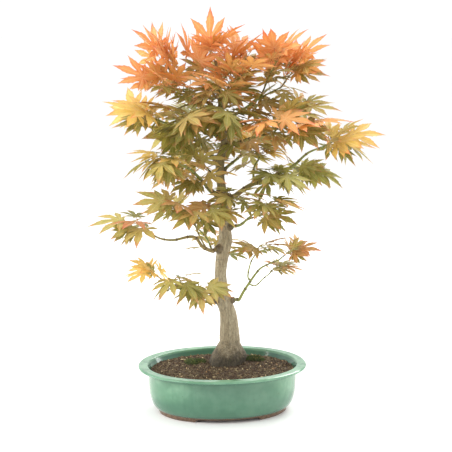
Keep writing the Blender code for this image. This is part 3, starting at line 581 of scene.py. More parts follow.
# Each branch's first arm springs from the trunk; the others spring from its first arm.
BRANCHES = {
    "left_low": (
        Arm(0.215, (
            (-0.027, -0.002, 0.098), (-0.050, -0.018, 0.113), (-0.074, -0.032, 0.130),
            (-0.092, -0.040, 0.141),
        ), 0.0026, 0.0011),
    ),
    "right_low": (
        Arm(0.213, (
            (0.026, 0.006, 0.098), (0.034, 0.004, 0.113), (0.055, 0.010, 0.140), (0.070, 0.014, 0.148),
            (0.088, 0.018, 0.154),
        ), 0.0024, 0.0009),
        Arm(0.420, (
            (0.037, -0.006, 0.135), (0.040, -0.012, 0.156), (0.046, -0.014, 0.168),
        ), 0.0013, 0.0009),
        Arm(0.360, (
            (0.052, 0.016, 0.116), (0.064, 0.024, 0.124), (0.074, 0.029, 0.130),
        ), 0.0012, 0.0008),
    ),
    "left_mid": (
        Arm(0.392, (
            (-0.016, 0.001, 0.173), (-0.030, -0.008, 0.181), (-0.044, -0.013, 0.197), (-0.074, -0.020, 0.194),
            (-0.096, -0.025, 0.199), (-0.110, -0.029, 0.211),
        ), 0.0030, 0.0010),
        Arm(0.160, (
            (-0.038, -0.026, 0.204), (-0.046, -0.032, 0.224), (-0.058, -0.036, 0.238),
        ), 0.0014, 0.0010),
        Arm(0.060, (
            (-0.022, 0.012, 0.190), (-0.036, 0.022, 0.205), (-0.052, 0.031, 0.220),
        ), 0.0014, 0.0010),
    ),
    "right_mid": (
        Arm(0.455, (
            (0.026, -0.006, 0.212), (0.034, -0.026, 0.224), (0.047, -0.044, 0.240),
        ), 0.0024, 0.0011),
    ),
    "right_main": (
        Arm(0.550, (
            (0.020, 0.010, 0.252), (0.034, 0.011, 0.262), (0.047, 0.012, 0.269), (0.069, 0.015, 0.275),
            (0.089, 0.020, 0.284), (0.109, 0.020, 0.295), (0.128, 0.014, 0.313), (0.150, 0.008, 0.323),
        ), 0.0040, 0.0011),
        Arm(0.250, (
            (0.050, 0.026, 0.290), (0.060, 0.038, 0.304),
        ), 0.0019, 0.0012),
    ),
    "left_upper": (
        Arm(0.560, (
            (-0.018, 0.002, 0.262), (-0.030, -0.010, 0.277), (-0.050, -0.028, 0.297), (-0.074, -0.042, 0.310),
        ), 0.0031, 0.0013),
    ),
    "back_right": (
        Arm(0.635, (
            (0.014, 0.030, 0.295), (0.034, 0.054, 0.306), (0.052, 0.078, 0.322),
        ), 0.0026, 0.0012),
    ),
    "left_fork": (
        Arm(0.672, (
            (-0.020, 0.022, 0.316), (-0.028, 0.036, 0.330), (-0.034, 0.050, 0.350),
        ), 0.0030, 0.0014),
    ),
    "right_high": (
        Arm(0.715, (
            (0.026, -0.012, 0.334), (0.056, -0.030, 0.345), (0.090, -0.042, 0.350),
        ), 0.0026, 0.0011),
    ),
    "left_high": (
        Arm(0.745, (
            (-0.022, -0.010, 0.348), (-0.054, -0.024, 0.358), (-0.086, -0.030, 0.364),
        ), 0.0024, 0.0010),
    ),
    "crown_right": (
        Arm(0.800, (
            (0.028, 0.008, 0.376), (0.056, 0.012, 0.394), (0.088, 0.012, 0.410),
        ), 0.0022, 0.0010),
    ),
    "crown_left": (
        Arm(0.835, (
            (-0.024, 0.002, 0.390), (-0.046, -0.004, 0.406), (-0.062, -0.008, 0.422),
        ), 0.0020, 0.0010),
    ),
}

# The leafy shoots, lowest first. Their yellow finish is painted backlight.
SHOOTS = {name: Shoot(*row) for name, row in {
    "left_low_end": ("left_low", 0, 1.0, (-0.106, -0.046, 0.151), 178, 6, -35, 4, 0.9, "yellow"),
    "left_low_middle": ("left_low", 0, 0.62, (-0.070, -0.052, 0.150), 232, -16, 0, 5, 1.0, "olive"),
    "left_low_inner": ("left_low", 0, 0.30, (-0.040, -0.042, 0.134), 290, -14, 0, 4, 0.95, "salmon"),
    "back_low": ("trunk", 0, 0.330, (-0.004, 0.088, 0.176), 90, 8, 0, 5, 1.0, "olive"),
    "right_low_end": ("right_low", 0, 1.0, (0.104, 0.018, 0.166), 5, -4, 55, 4, 0.85, "salmon"),
    "right_low_front": ("right_low", 1, 1.0, (0.052, -0.018, 0.182), 305, -8, 0, 5, 1.0, "olive"),
    "right_low_back": ("right_low", 2, 1.0, (0.084, 0.036, 0.138), 15, 2, 10, 4, 0.85, "salmon"),
    "left_mid_end": ("left_mid", 0, 1.0, (-0.124, -0.033, 0.222), 182, -6, -20, 5, 1.25, "salmon"),
    "left_mid_front": ("left_mid", 1, 1.0, (-0.070, -0.042, 0.250), 200, -10, -20, 5, 1.1, "salmon"),
    "left_mid_top": ("left_mid", 1, 0.55, (-0.040, -0.056, 0.242), 285, -24, 0, 4, 0.95, "olive"),
    "left_mid_back": ("left_mid", 2, 1.0, (-0.064, 0.042, 0.232), 160, 8, -15, 5, 0.95, "green"),
    "right_mid_end": ("right_mid", 0, 1.0, (0.058, -0.056, 0.250), 325, -18, 0, 5, 1.0, "salmon"),
    "right_mid_side": ("right_mid", 0, 0.50, (0.058, -0.020, 0.228), 0, -20, 25, 4, 0.95, "olive"),
    "front_left": ("trunk", 0, 0.490, (-0.010, -0.044, 0.240), 225, -16, 0, 4, 1.0, "salmon"),
    "front_right": ("trunk", 0, 0.520, (0.016, -0.052, 0.262), 300, -12, 0, 5, 1.0, "salmon"),
    "left_upper_end": ("left_upper", 0, 1.0, (-0.092, -0.048, 0.318), 190, -16, -15, 7, 1.15, "yellow"),
    "left_upper_inner": ("left_upper", 0, 0.35, (-0.052, 0.024, 0.282), 165, -4, -30, 6, 1.15, "yellow"),
    "back_mid": ("trunk", 0, 0.600, (-0.036, 0.092, 0.304), 112, 6, 0, 7, 1.05, "yellow"),
    "right_main_end": ("right_main", 0, 1.0, (0.168, 0.002, 0.332), 0, 4, 30, 5, 1.3, "yellow"),
    "right_main_middle": ("right_main", 0, 0.62, (0.134, 0.034, 0.288), 12, -16, 25, 6, 1.1, "green"),
    "right_main_inner": ("right_main", 0, 0.45, (0.072, -0.028, 0.288), 310, -18, 0, 7, 1.1, "green"),
    "right_main_back": ("right_main", 1, 1.0, (0.058, 0.062, 0.314), 100, 10, 0, 7, 1.15, "yellow"),
    "back_right": ("back_right", 0, 1.0, (0.064, 0.096, 0.330), 70, 6, 0, 7, 1.15, "green"),
    "left_fork": ("left_fork", 0, 1.0, (-0.044, 0.070, 0.366), 128, 12, 0, 7, 1.15, "green"),
    "left_fork_side": ("left_fork", 0, 0.55, (-0.062, 0.030, 0.338), 180, 2, -35, 6, 1.15, "green"),
    "right_high_end": ("right_high", 0, 1.0, (0.110, -0.044, 0.356), 350, -6, 30, 7, 1.15, "orange"),
    "right_high_middle": ("right_high", 0, 0.55, (0.058, -0.060, 0.366), 290, -18, 0, 6, 1.15, "orange"),
    "right_high_back": ("right_high", 0, 0.75, (0.108, -0.008, 0.378), 15, 2, 25, 6, 1.15, "olive"),
    "left_high_end": ("left_high", 0, 1.0, (-0.108, -0.034, 0.371), 180, -6, -25, 6, 1.3, "yellow"),
    "left_high_middle": ("left_high", 0, 0.55, (-0.064, -0.062, 0.372), 240, -14, 0, 6, 1.15, "olive"),
    "crown_left_low": ("crown_left", 0, 0.60, (-0.098, -0.018, 0.412), 188, 20, -45, 7, 1.15, "orange"),
    "crown_left_end": ("crown_left", 0, 1.0, (-0.086, -0.008, 0.446), 160, 48, -60, 6, 1.15, "orange"),
    "crown_front_low": ("trunk", 0, 0.800, (0.000, -0.064, 0.384), 262, -22, 0, 7, 1.15, "olive"),
    "crown_front": ("trunk", 0, 0.850, (-0.012, -0.054, 0.414), 250, 10, 0, 7, 1.15, "orange"),
    "crown_front_right": ("trunk", 0, 0.880, (0.026, -0.044, 0.432), 300, 35, 0, 7, 1.15, "orange"),
    "crown_right_up": ("crown_right", 0, 0.62, (0.076, -0.016, 0.448), 290, 50, 0, 6, 1.15, "orange"),
    "crown_right_end": ("crown_right", 0, 1.0, (0.108, 0.010, 0.436), 5, 34, 45, 7, 1.15, "orange"),
    "crown_back": ("trunk", 0, 0.860, (0.020, 0.070, 0.410), 78, 22, 0, 7, 1.15, "olive"),
    "leader_right": ("trunk", 0, 0.920, (0.034, 0.030, 0.446), 60, 50, 20, 6, 1.1, "orange"),
    "leader_left": ("trunk", 0, 0.940, (-0.056, 0.014, 0.436), 185, 62, -30, 5, 1.1, "orange"),
    "leader": ("trunk", 0, 1.000, (-0.018, -0.006, 0.456), 275, 68, 0, 5, 1.1, "orange"),
}.items()}

# A blade's lobes: the angle from its middle line, and the length against the middle lobe's.
LOBES = ((80, 0.56), (40, 0.86), (0, 1.0), (-40, 0.86), (-80, 0.56))
NOTCH = 0.30  # how far from the stalk the blade parts into lobes, against the middle lobe
FAN_POINT = 0.14  # where the blade's veins meet, against the middle lobe
# Where leaves sit on a twig, as shares of its length. An odd leaf takes the end alone.
PAIR_SHARES = (0.95, 0.68, 0.44, 0.22)
PAIR_SPREADS = (42, 64, 76, 84)  # how far each pair turns out from the twig's heading, in degrees
STALK_LIFT = 16  # a stalk rises this much more steeply than its blade, in degrees
# A leaf that would cross a neighbour turns and tilts by the first of these that keeps it clear, in degrees.
TRIES = tuple(
    (turn, tilt)
    for reach in (0, 12, 24, 36, 48, 60, 72)
    for turn, tilt in (
        ((0, 0),) if reach == 0 else
        ((0, reach), (0, -reach), (reach, 0), (-reach, 0), (reach, reach), (-reach, reach),
         (reach, -reach), (-reach, -reach))
    )
)
GROWTH = TREE_HEIGHT / TRUNK_LINE[-1][2]


# --- The tree's routes and leaf places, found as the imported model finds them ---
def smooth_route(points, steps):
    """A smooth line through all the points, with steps stretches between each two."""
    ends = [points[0] * 2 - points[1], *points, points[-1] * 2 - points[-2]]
    line = []
    for a, b, c, d in zip(ends, ends[1:], ends[2:], ends[3:]):
        for i in range(steps):
            t = i / steps
            line.append(0.5 * (2 * b + (c - a) * t + (2 * a - 5 * b + 4 * c - d) * t**2
                               + (3 * b - a - 3 * c + d) * t**3))
    return [*line, points[-1].copy()]


def along(line, share):
    """The point at a share of the line's length, and the line's direction there."""
    lengths = [(b - a).length for a, b in zip(line, line[1:])]
    left = share * sum(lengths)
    for a, b, length in zip(line, line[1:], lengths):
        if left <= length or b is line[-1]:
            return a.lerp(b, left / length), (b - a).normalized()
        left -= length
    raise ValueError("a line needs two points")


def surface_towards(tree, point, aim):
    """Where the way from point to aim last leaves a solid, and that way."""
    way = (aim - point).normalized()
    hit, _, _, _ = tree.ray_cast(aim, -way)
    return (hit or point), way


def direction(heading, rise):
    h, r = math.radians(heading), math.radians(rise)
    return Vector((math.cos(h) * math.cos(r), math.sin(h) * math.cos(r), math.sin(r)))


def add_tube(bm, centres, radii, sides, swell=None, level=0):
    """A closed tube along the centres, in triangles."""
    rings = [[bm.verts.new(p) for p in ring] for ring in tube_rings(centres, radii, sides, swell, level)]
    for low, high in zip(rings, rings[1:]):
        for k in range(sides):
            j = (k + 1) % sides
            bm.faces.new((low[k], low[j], high[j]))
            bm.faces.new((low[k], high[j], high[k]))
    bm.faces.new(rings[0][::-1])
    bm.faces.new(rings[-1])


def tree_of(add, *args, **options):
    """A search tree of the surface that add makes."""
    bm = bmesh.new()
    add(bm, *args, **options)
    tree = BVHTree.FromBMesh(bm)
    bm.free()
    return tree


def taper(start, end, count):
    return [start + (end - start) * i / (count - 1) for i in range(count)]


def in_tree(point):
    """A point of the routes above, stretched to the tree's height and set on the soil."""
    return Vector(point) * GROWTH + Vector((0, 0, SOIL_Z))


def trunk_line():
    """The trunk's middle line from the soil up, and its radius at each point."""
    return [in_tree(row[:3]) for row in TRUNK_LINE], [row[3] * TRUNK_THICKNESS for row in TRUNK_LINE]


def trunk_rings():
    """The trunk's middle line and radii from the buried root crown up."""
    centres, radii = trunk_line()
    knob = radii[0] * (0.85 + 0.20 * ROOT_BULGE)
    buried = [(ROOT_DEPTH, knob * 0.72), (ROOT_DEPTH * 0.55, knob * 0.96), (ROOT_DEPTH * 0.2, knob)]
    crown = [centres[0] - Vector((0, 0, depth)) for depth, _ in buried]
    return crown + centres, [radius for _, radius in buried] + radii


def trunk_swell(ring, angle):
    """The knob is lumpy at the soil, and the stem above it is nearly round."""
    lump = 0.10 * ROOT_BULGE * max(0.0, 1 - ring / 9)
    lobes = lump * math.cos(3 * angle + 0.6) + 0.5 * lump * math.cos(5 * angle)
    return 1 + lobes + 0.02 * math.cos(2 * angle + ring)


def start_clear(tree, point, parent_way, aim, radius, at_end):
    """Where a stem going from a point inside its parent to aim begins, so that its flat end just clears the
    parent's surface: its side, or its end if at_end."""
    surface, way = surface_towards(tree, point, aim)
    lean = min(0.9, abs(way.dot(parent_way)))
    if at_end:
        lean = min(0.9, math.sqrt(1 - lean**2))
    return surface + way * (CLEARANCE + radius * lean / math.sqrt(1 - lean**2))


def collar_of(arm, trunk_tree):
    """A branch's collar: where it starts inside the trunk, where it ends, and its way."""
    centres, _ = trunk_line()
    middle, _ = along(centres, arm.share)
    surface, way = surface_towards(trunk_tree, middle, in_tree(arm.points[0]))
    return middle, surface + way * COLLAR_LENGTH, way


class Leaf(NamedTuple):
    """A leaf's place: where its stalk leaves the twig, where the blade begins, the way the blade points,
    the way its upper face looks, and its length."""

    root: Vector
    base: Vector
    forward: Vector
    normal: Vector
    length: float


def place_leaf(root, heading, lift, roll, size, turn=0, tilt=0):
    stalk = direction(heading + turn, lift + tilt + STALK_LIFT)
    forward = direction(heading + turn, lift + tilt)
    upright = direction(heading + turn, lift + tilt + 90)
    normal = Matrix.Rotation(math.radians(roll), 3, forward) @ upright
    return Leaf(root, root + stalk * STALK_LENGTH * size, forward, normal, LEAF_LENGTH * size)


def leaf_roots(shoot, line):
    """Each leaf's root on the twig, with its heading, lift, roll and size."""
    single = shoot.leaves % 2
    places = [(PAIR_SHARES[0], 0.0, 0)] if single else []
    for pair in range(shoot.leaves // 2):
        rank = pair + single
        share = PAIR_SHARES[rank]
        places += [(share, PAIR_SPREADS[rank], 1), (share, PAIR_SPREADS[rank], -1)]
    for number, (share, spread, side) in enumerate(places):
        root, way = along(line, share)
        across = way.orthogonal().normalized()
        vary = math.sin(12.9 * (number + 1) + 78.2 * shoot.share + shoot.heading)
        heading = shoot.heading + side * spread
        lift = shoot.lift + 13 * vary
        roll = shoot.roll + side * 10 + 24 * math.sin(31.7 * (number + 1) + shoot.heading)
        size = shoot.size * (1.0 - 0.07 * (number // 2) + 0.05 * vary)
        yield root + across * (0.25 * TWIG_TIP_RADIUS * side), heading, lift, roll, size


def blade_outline(leaf):
    """The blade's edge, from the left side of its stalk round to the right side."""
    left = leaf.normal.cross(leaf.forward)

    def point(angle, share):
        turned = leaf.forward * math.cos(angle) + left * math.sin(angle)
        return leaf.base + (turned * share - leaf.normal * (LEAF_DROOP * share**2)) * leaf.length

    points = [leaf.base + left * (STALK_WIDTH / 2)]
    for (angle, share), (next_angle, _) in zip(LOBES, LOBES[1:]):
        points.append(point(math.radians(angle), share))
        points.append(point(math.radians((angle + next_angle) / 2), NOTCH))
    points.append(point(math.radians(LOBES[-1][0]), LOBES[-1][1]))
    points.append(leaf.base - left * (STALK_WIDTH / 2))
    return points


def add_leaf(bm, leaf, grow=0.0, stalk=True):
    """A blade, thick where its veins meet and sharp at its edge, with its stalk, as one closed shell."""
    edge = [bm.verts.new(p) for p in blade_outline(leaf)]
    hub = leaf.base + leaf.forward * leaf.length * FAN_POINT
    rise = leaf.normal * (LEAF_THICKNESS / 2 + grow)
    shift = leaf.root - leaf.base
    sides = []
    for lift in (rise, -rise):
        middle = bm.verts.new(hub + lift)
        base = bm.verts.new(leaf.base + leaf.normal * math.copysign(STALK_WIDTH / 2, lift.dot(leaf.normal)))
        around = [base, *edge]
        for k, vert in enumerate(around):
            bm.faces.new((middle, vert, around[(k + 1) % len(around)]))
        sides.append(base)
    if not stalk:
        bm.faces.new((edge[0], sides[0], edge[-1], sides[1]))
        return
    starts = [edge[0], sides[0], edge[-1], sides[1]]
    ends = [bm.verts.new(v.co + shift) for v in starts]
    for k in range(4):
        j = (k + 1) % 4
        bm.faces.new((starts[k], starts[j], ends[j], ends[k]))
    bm.faces.new(ends)


def crosses(tree, others):
    return any(tree.overlap(other) for other in others)


def twig_line(shoot, parents):
    """The twig's middle line, from just clear of its parent to its tip."""
    lines, tree = parents[shoot.parent]
    point, parent_way = along(lines[shoot.arm], min(shoot.share, 0.995))
    tip = in_tree(shoot.tip)
    girth = TWIG_RADIUS * (1 + (tip - point).length / TWIG_SPAN)
    start = start_clear(tree, point, parent_way, tip, girth, shoot.share == 1.0)
    middle = start.lerp(tip, 0.5) + Vector((0, 0, 0.04 * (tip - start).length))
    return [start, middle, tip]


def twig_radii(line):
    length = (line[-1] - line[0]).length
    return taper(TWIG_RADIUS * (1 + length / TWIG_SPAN), TWIG_TIP_RADIUS, len(line))


# --- Pot and screens ---
def oval(inset, z, sides):
    """The pot's outline, drawn in from the lip's edge by inset."""
    half_length, half_depth = POT_LENGTH / 2 - inset, POT_DEPTH / 2 - inset
    points = []
    for k in range(sides):
        angle = math.tau * k / sides
        c, s = math.cos(angle), math.sin(angle)
        x = math.copysign(abs(c) ** (2 / OVAL_POWER), c) * half_length
        y = math.copysign(abs(s) ** (2 / OVAL_POWER), s) * half_depth
        points.append(Vector((x, y, z)))
    return points


def rounded(steps, fineness):
    """Inset and height along a smooth line through the steps."""
    line = smooth_route([Vector((inset, z, 0.0)) for inset, z in steps], fineness)
    return [(p.x, p.y) for p in line]


# The pot's inside, from under the lip down to the floor: height and inset.
WALL_LINE = (
    (POT_HEIGHT - 0.0040, LIP_WIDTH + 0.0014),
    (POT_HEIGHT - 0.0092, LIP_WIDTH + 0.0042),
    (POT_HEIGHT - 0.0150, LIP_OVERHANG + WALL),
    (FOOT_RING_HEIGHT + (POT_HEIGHT - FOOT_RING_HEIGHT) * 0.36, LIP_OVERHANG + WALL + 0.0006),
    (FLOOR_TOP + 0.0045, LIP_OVERHANG + WALL + BELLY_TUCK * 0.42),
    (FLOOR_TOP, LIP_OVERHANG + WALL + BELLY_TUCK * 0.85),
)


def pot_profile():
    """Inset and height from under the foot ring, up the outside, over the lip and down to the floor."""
    foot = LIP_OVERHANG + BELLY_TUCK + 0.0012
    ring = [
        (foot + FOOT_RING_WIDTH + 0.0006, FOOT_RING_HEIGHT),
        (foot + FOOT_RING_WIDTH + 0.0004, FOOT_RING_HEIGHT - 0.0007),
        (foot + FOOT_RING_WIDTH + 0.0002, 0.0012),
        (foot + FOOT_RING_WIDTH - 0.0008, 0.0),
        (foot + 0.0024, 0.0),
        (foot + 0.0012, 0.0009),
        (foot + 0.0004, 0.0030),
        (foot, FOOT_RING_HEIGHT - 0.0008),
    ]
    body_top = POT_HEIGHT - LIP_THICKNESS
    rise = body_top - FOOT_RING_HEIGHT
    belly = ((1.0, 0.005), (0.74, 0.05), (0.40, 0.17), (0.12, 0.38), (0.01, 0.62))
    body = [
        *((LIP_OVERHANG + BELLY_TUCK * tuck, FOOT_RING_HEIGHT + rise * up) for tuck, up in belly),
        (LIP_OVERHANG - 0.0003, FOOT_RING_HEIGHT + rise * 0.84),
        (LIP_OVERHANG - 0.0016, body_top - 0.0022),
        (LIP_OVERHANG - 0.0052, body_top - 0.0002),
        (LIP_OVERHANG - 0.0100, body_top + 0.0004),
    ]
    lip = [
        (0.0016, body_top + LIP_THICKNESS * 0.16),
        (0.0003, body_top + LIP_THICKNESS * 0.42),
        (0.0003, body_top + LIP_THICKNESS * 0.68),
        (0.0018, POT_HEIGHT - 0.0004),
        (0.0040, POT_HEIGHT),
        (LIP_WIDTH * 0.55, POT_HEIGHT - 0.0003),
        (LIP_WIDTH - 0.0022, POT_HEIGHT - 0.0002),
        (LIP_WIDTH - 0.0004, POT_HEIGHT - 0.0010),
    ]
    inside = [(inset, z) for z, inset in WALL_LINE]
    return [*ring, *rounded([*body, *lip, *inside], 4)]


def arch_at(point):
    """Height of the gap between the feet over a point of the foot ring."""
    front = smoothstep(0.0, ARCH_SLOPE, FRONT_ARCH / 2 - abs(point.x))
    end = smoothstep(0.0, ARCH_SLOPE, END_ARCH / 2 - abs(point.y))
    return ARCH_HEIGHT * max(front, end)


def pot_body(sides):
    rings = []
    for inset, z in pot_profile():
        ring = oval(inset, z, sides)
        for point in ring:
            if z < ARCH_HEIGHT:
                rise = arch_at(point)
                point.z = rise + z * (1 - rise / ARCH_HEIGHT * 0.9)
            # The thrown and pressed body is never quite true.
            point.xy *= 1 + 0.0016 * noise.noise(Vector((point.x * 14, point.y * 14, z * 9)))
        rings.append(ring)
    shape = Shape()
    shape.add(*skin(rings, Vector((0, 0, rings[0][0].z)), Vector((0, 0, rings[-1][-1].z))))
    return add_object(mesh_of(shape, "pot_body"), "pot_body")


def drill_drains(pot):
    """Cuts the two drain holes through the floor."""
    drills = []
    for side in (-1, 1):
        centre = POT_PLACE + Vector((side * DRAIN_OFFSET, 0, 0))
        bm = bmesh.new()
        bmesh.ops.create_cone(bm, cap_ends=True, segments=48, radius1=DRAIN_RADIUS, radius2=DRAIN_RADIUS,
                              depth=0.04, matrix=Matrix.Translation(centre + Vector((0, 0, 0.01))))
        mesh = bpy.data.meshes.new("drill")
        bm.to_mesh(mesh)
        bm.free()
        drill = add_object(mesh, "drill")
        drills.append(drill)
        cut = pot.modifiers.new("drain", "BOOLEAN")
        cut.operation, cut.solver, cut.object = "DIFFERENCE", "EXACT", drill
    pot = evaluated(pot, "pot_body")
    for drill in drills:
        bpy.data.objects.remove(drill)
    return pot


def glaze_finish(settings):
    """Jade glaze that thins over edges and gathers under the lip, ending above bare clay feet. Painted light
    too: a highlight along the lip's top edge, shade mixed with the gathered glaze under the lip and above the
    foot, and shade inside the rim.
    """
    f = Finish("jade_glaze", 0.16, Coat_Weight=0.25, Coat_Roughness=0.05)
    z = f.height()
    cloud = f.noise(26, 3.0)
    runs = f.noise(95, 4.0, stretch=(1.0, 1.0, 0.16))
    fine = f.noise(900, 2.0)
    glaze = f.lay(settings.glaze, settings.glaze_thin_and_highlight, f.step(cloud, 0.35, 0.75), 0.6)
    glaze = f.lay(glaze, settings.glaze_deep_and_shade, f.step(runs, 0.50, 0.72), settings.streaks)
    lip_z = POT_HEIGHT - LIP_THICKNESS
    # Painted shade, partly glaze gathered there: darker glaze under the lip and just above the foot, where
    # the body is undercut.
    under_lip_shade = f.times(f.step(z, lip_z - 0.0075, lip_z - 0.0010), f.step(z, lip_z + 0.0025, lip_z + 0.0010))
    over_foot_shade = f.step(z, FOOT_RING_HEIGHT + 0.0060, FOOT_RING_HEIGHT + 0.0007)
    glaze = f.lay(glaze, settings.glaze_deep_and_shade, f.math("MAXIMUM", under_lip_shade, over_foot_shade), 0.95)
    # Painted highlight: a paler strip of glaze along the lip's top edge, partly glaze thinning over the edge.
    lip_highlight = f.times(f.step(z, POT_HEIGHT - 0.0016, POT_HEIGHT - 0.0001), f.step(runs, 0.30, 0.65))
    glaze = f.lay(glaze, settings.glaze_thin_and_highlight, lip_highlight, 0.5)
    # Inside, seen only as the strip of wall over the soil, the glaze is painted darker as shade.
    across = f.vector("ADD", f.place, (-POT_PLACE.x, -POT_PLACE.y, 0.0))[0]
    across = f.vector("MULTIPLY", across, (2 / POT_LENGTH, 2 / POT_DEPTH, 0.0))[0]
    reach = f.vector("LENGTH", across)["Value"]
    inner = f.times(f.step(reach, 0.885, 0.860), f.step(z, POT_HEIGHT - 0.0006, POT_HEIGHT - 0.0025))
    glaze = f.lay(glaze, settings.glaze_deep_and_shade, inner, 0.62)
    glaze = f.lay(glaze, GLAZE_SPECK, f.step(f.noise(420, 1.0), 0.72, 0.76), 0.45)
    clay = f.mix(f.step(f.noise(240, 5.0), 0.35, 0.7), settings.clay, FIRED_CLAY)
    bare = f.step(f.waver(z, runs, 0.0022), FOOT_RING_HEIGHT + 0.0006, FOOT_RING_HEIGHT + 0.0001)
    rough = f.plus(f.times(bare, 0.62), f.times(fine, 0.10))
    f.bump(f.plus(cloud, f.times(fine, f.plus(bare, 0.04))), 0.0005, 0.35)
    return f.paint(f.mix(bare, glaze, clay), f.plus(rough, 0.10))


def plastic_finish(settings):
    """Black moulded plastic, scuffed and dusty with soil."""
    f = Finish("screen_plastic", 0.55)
    dust = f.step(f.noise(700, 4.0), 0.45, 0.75)
    f.bump(f.noise(1500, 2.0), 0.0002, 0.3)
    return f.paint(f.lay(settings.plastic, SCREEN_DUST, dust, 0.35), f.plus(0.45, f.times(dust, 0.4)))


class BONSAI_OT_pot(bpy.types.Operator):
    """Make the glazed pot on its clay feet"""

    bl_idname = "bonsai.pot"
    bl_label = "Pot"

    def execute(self, context):
        settings = context.scene.bonsai_pot
        pot = drill_drains(pot_body(settings.sides))
        finish_piece(pot, [glaze_finish(settings)], "glaze", "pot", sharp=50)
        return {"FINISHED"}


class BONSAI_OT_screens(bpy.types.Operator):
    """Finish the plastic screens over the drain holes"""

    bl_idname = "bonsai.screens"
    bl_label = "Drain Screens"

    def execute(self, context):
        material = plastic_finish(context.scene.bonsai_pot)
        for name in ("drain_screen_left", "drain_screen_right"):
            for slot in frame["nodes"][name].material_slots:
                slot.material = material
        return {"FINISHED"}


# --- Soil and moss ---
def soil_height(x, y):
    """Height of the soil's surface: level at the wall, rising in a low mound to the trunk."""
    inset = LIP_OVERHANG + WALL
    reach = math.hypot(x / (POT_LENGTH / 2 - inset), y / (POT_DEPTH / 2 - inset))
    return SOIL_EDGE_Z + SOIL_MOUND * max(0.0, 1 - reach**2) ** 0.8


def lumps(x, y):
    """How far the loose soil stands over or under its even surface."""
    at = Vector((x, y, 0.0))
    return 0.0011 * noise.noise(at * 60) + 0.0008 * noise.noise(at * 170) + 0.0006 * noise.noise(at * 420)


def soil_inset(z):
    """Inset of the pot's wall at a height."""
    for (high, high_inset), (low, low_inset) in zip(WALL_LINE[1:], WALL_LINE[2:]):
        if z >= low:
            return high_inset + (low_inset - high_inset) * (high - z) / (high - low)
    return WALL_LINE[-1][1]


def soil_rings(sides, rings):
    """Rings of the soil's rough surface, from the wall in to the middle."""
    edge = oval(soil_inset(SOIL_EDGE_Z) - 0.0004, SOIL_EDGE_Z, sides)
    made = []
    for i in range(rings):
        inward = 1 - i / rings
        ring = []
        for p in edge:
            x, y = p.x * inward, p.y * inward
            ring.append(Vector((x, y, soil_height(x, y) + (lumps(x, y) if i else -0.0004))))
        made.append(ring)
    return made


def soil_shape(sides=160, rings=46):
    """The whole soil as one closed body, and only its surface for scattering on."""
    bottom = FLOOR_TOP + CLEARANCE
    below = []
    for share_up in (0.0, 0.03, 0.10, 0.35, 0.65, 0.90):
        z = bottom + (SOIL_EDGE_Z - bottom) * share_up
        below.append(oval(soil_inset(z) + CLEARANCE, z, sides))
    surface = soil_rings(sides, rings)
    middle = Vector((0, 0, soil_height(0, 0)))
    whole, top = Shape(), Shape()
    whole.add(*skin([*below, *surface], Vector((0, 0, bottom)), middle))
    top.add(*skin(surface, top=middle))
    return whole, top


class Nodes(Graph):
    """A Geometry Nodes tree in the making."""

    def __init__(self, name, sizes):
        super().__init__(bpy.data.node_groups.new(name, "GeometryNodeTree"))
        face = self.tree.interface
        face.new_socket("Geometry", in_out="INPUT", socket_type="NodeSocketGeometry")
        for title, kind, value in sizes:
            made = face.new_socket(title, in_out="INPUT", socket_type=kind)
            if value is not None:
                made.default_value = value
        face.new_socket("Geometry", in_out="OUTPUT", socket_type="NodeSocketGeometry")
        self.given = self.node("NodeGroupInput").outputs
        self.result = self.node("NodeGroupOutput")


def random_value(nodes, low, high, seed, kind="FLOAT"):
    """A random number or vector for each instance."""
    made = nodes.node("FunctionNodeRandomValue", data_type=kind)
    ends = [s for s in made.inputs if s.enabled and s.name in ("Min", "Max")]
    for socket, value in zip(ends, (low, high)):
        nodes.join(value, socket)
    made.inputs["Seed"].default_value = seed
    return made.outputs[{"FLOAT": 1, "FLOAT_VECTOR": 0}[kind]]


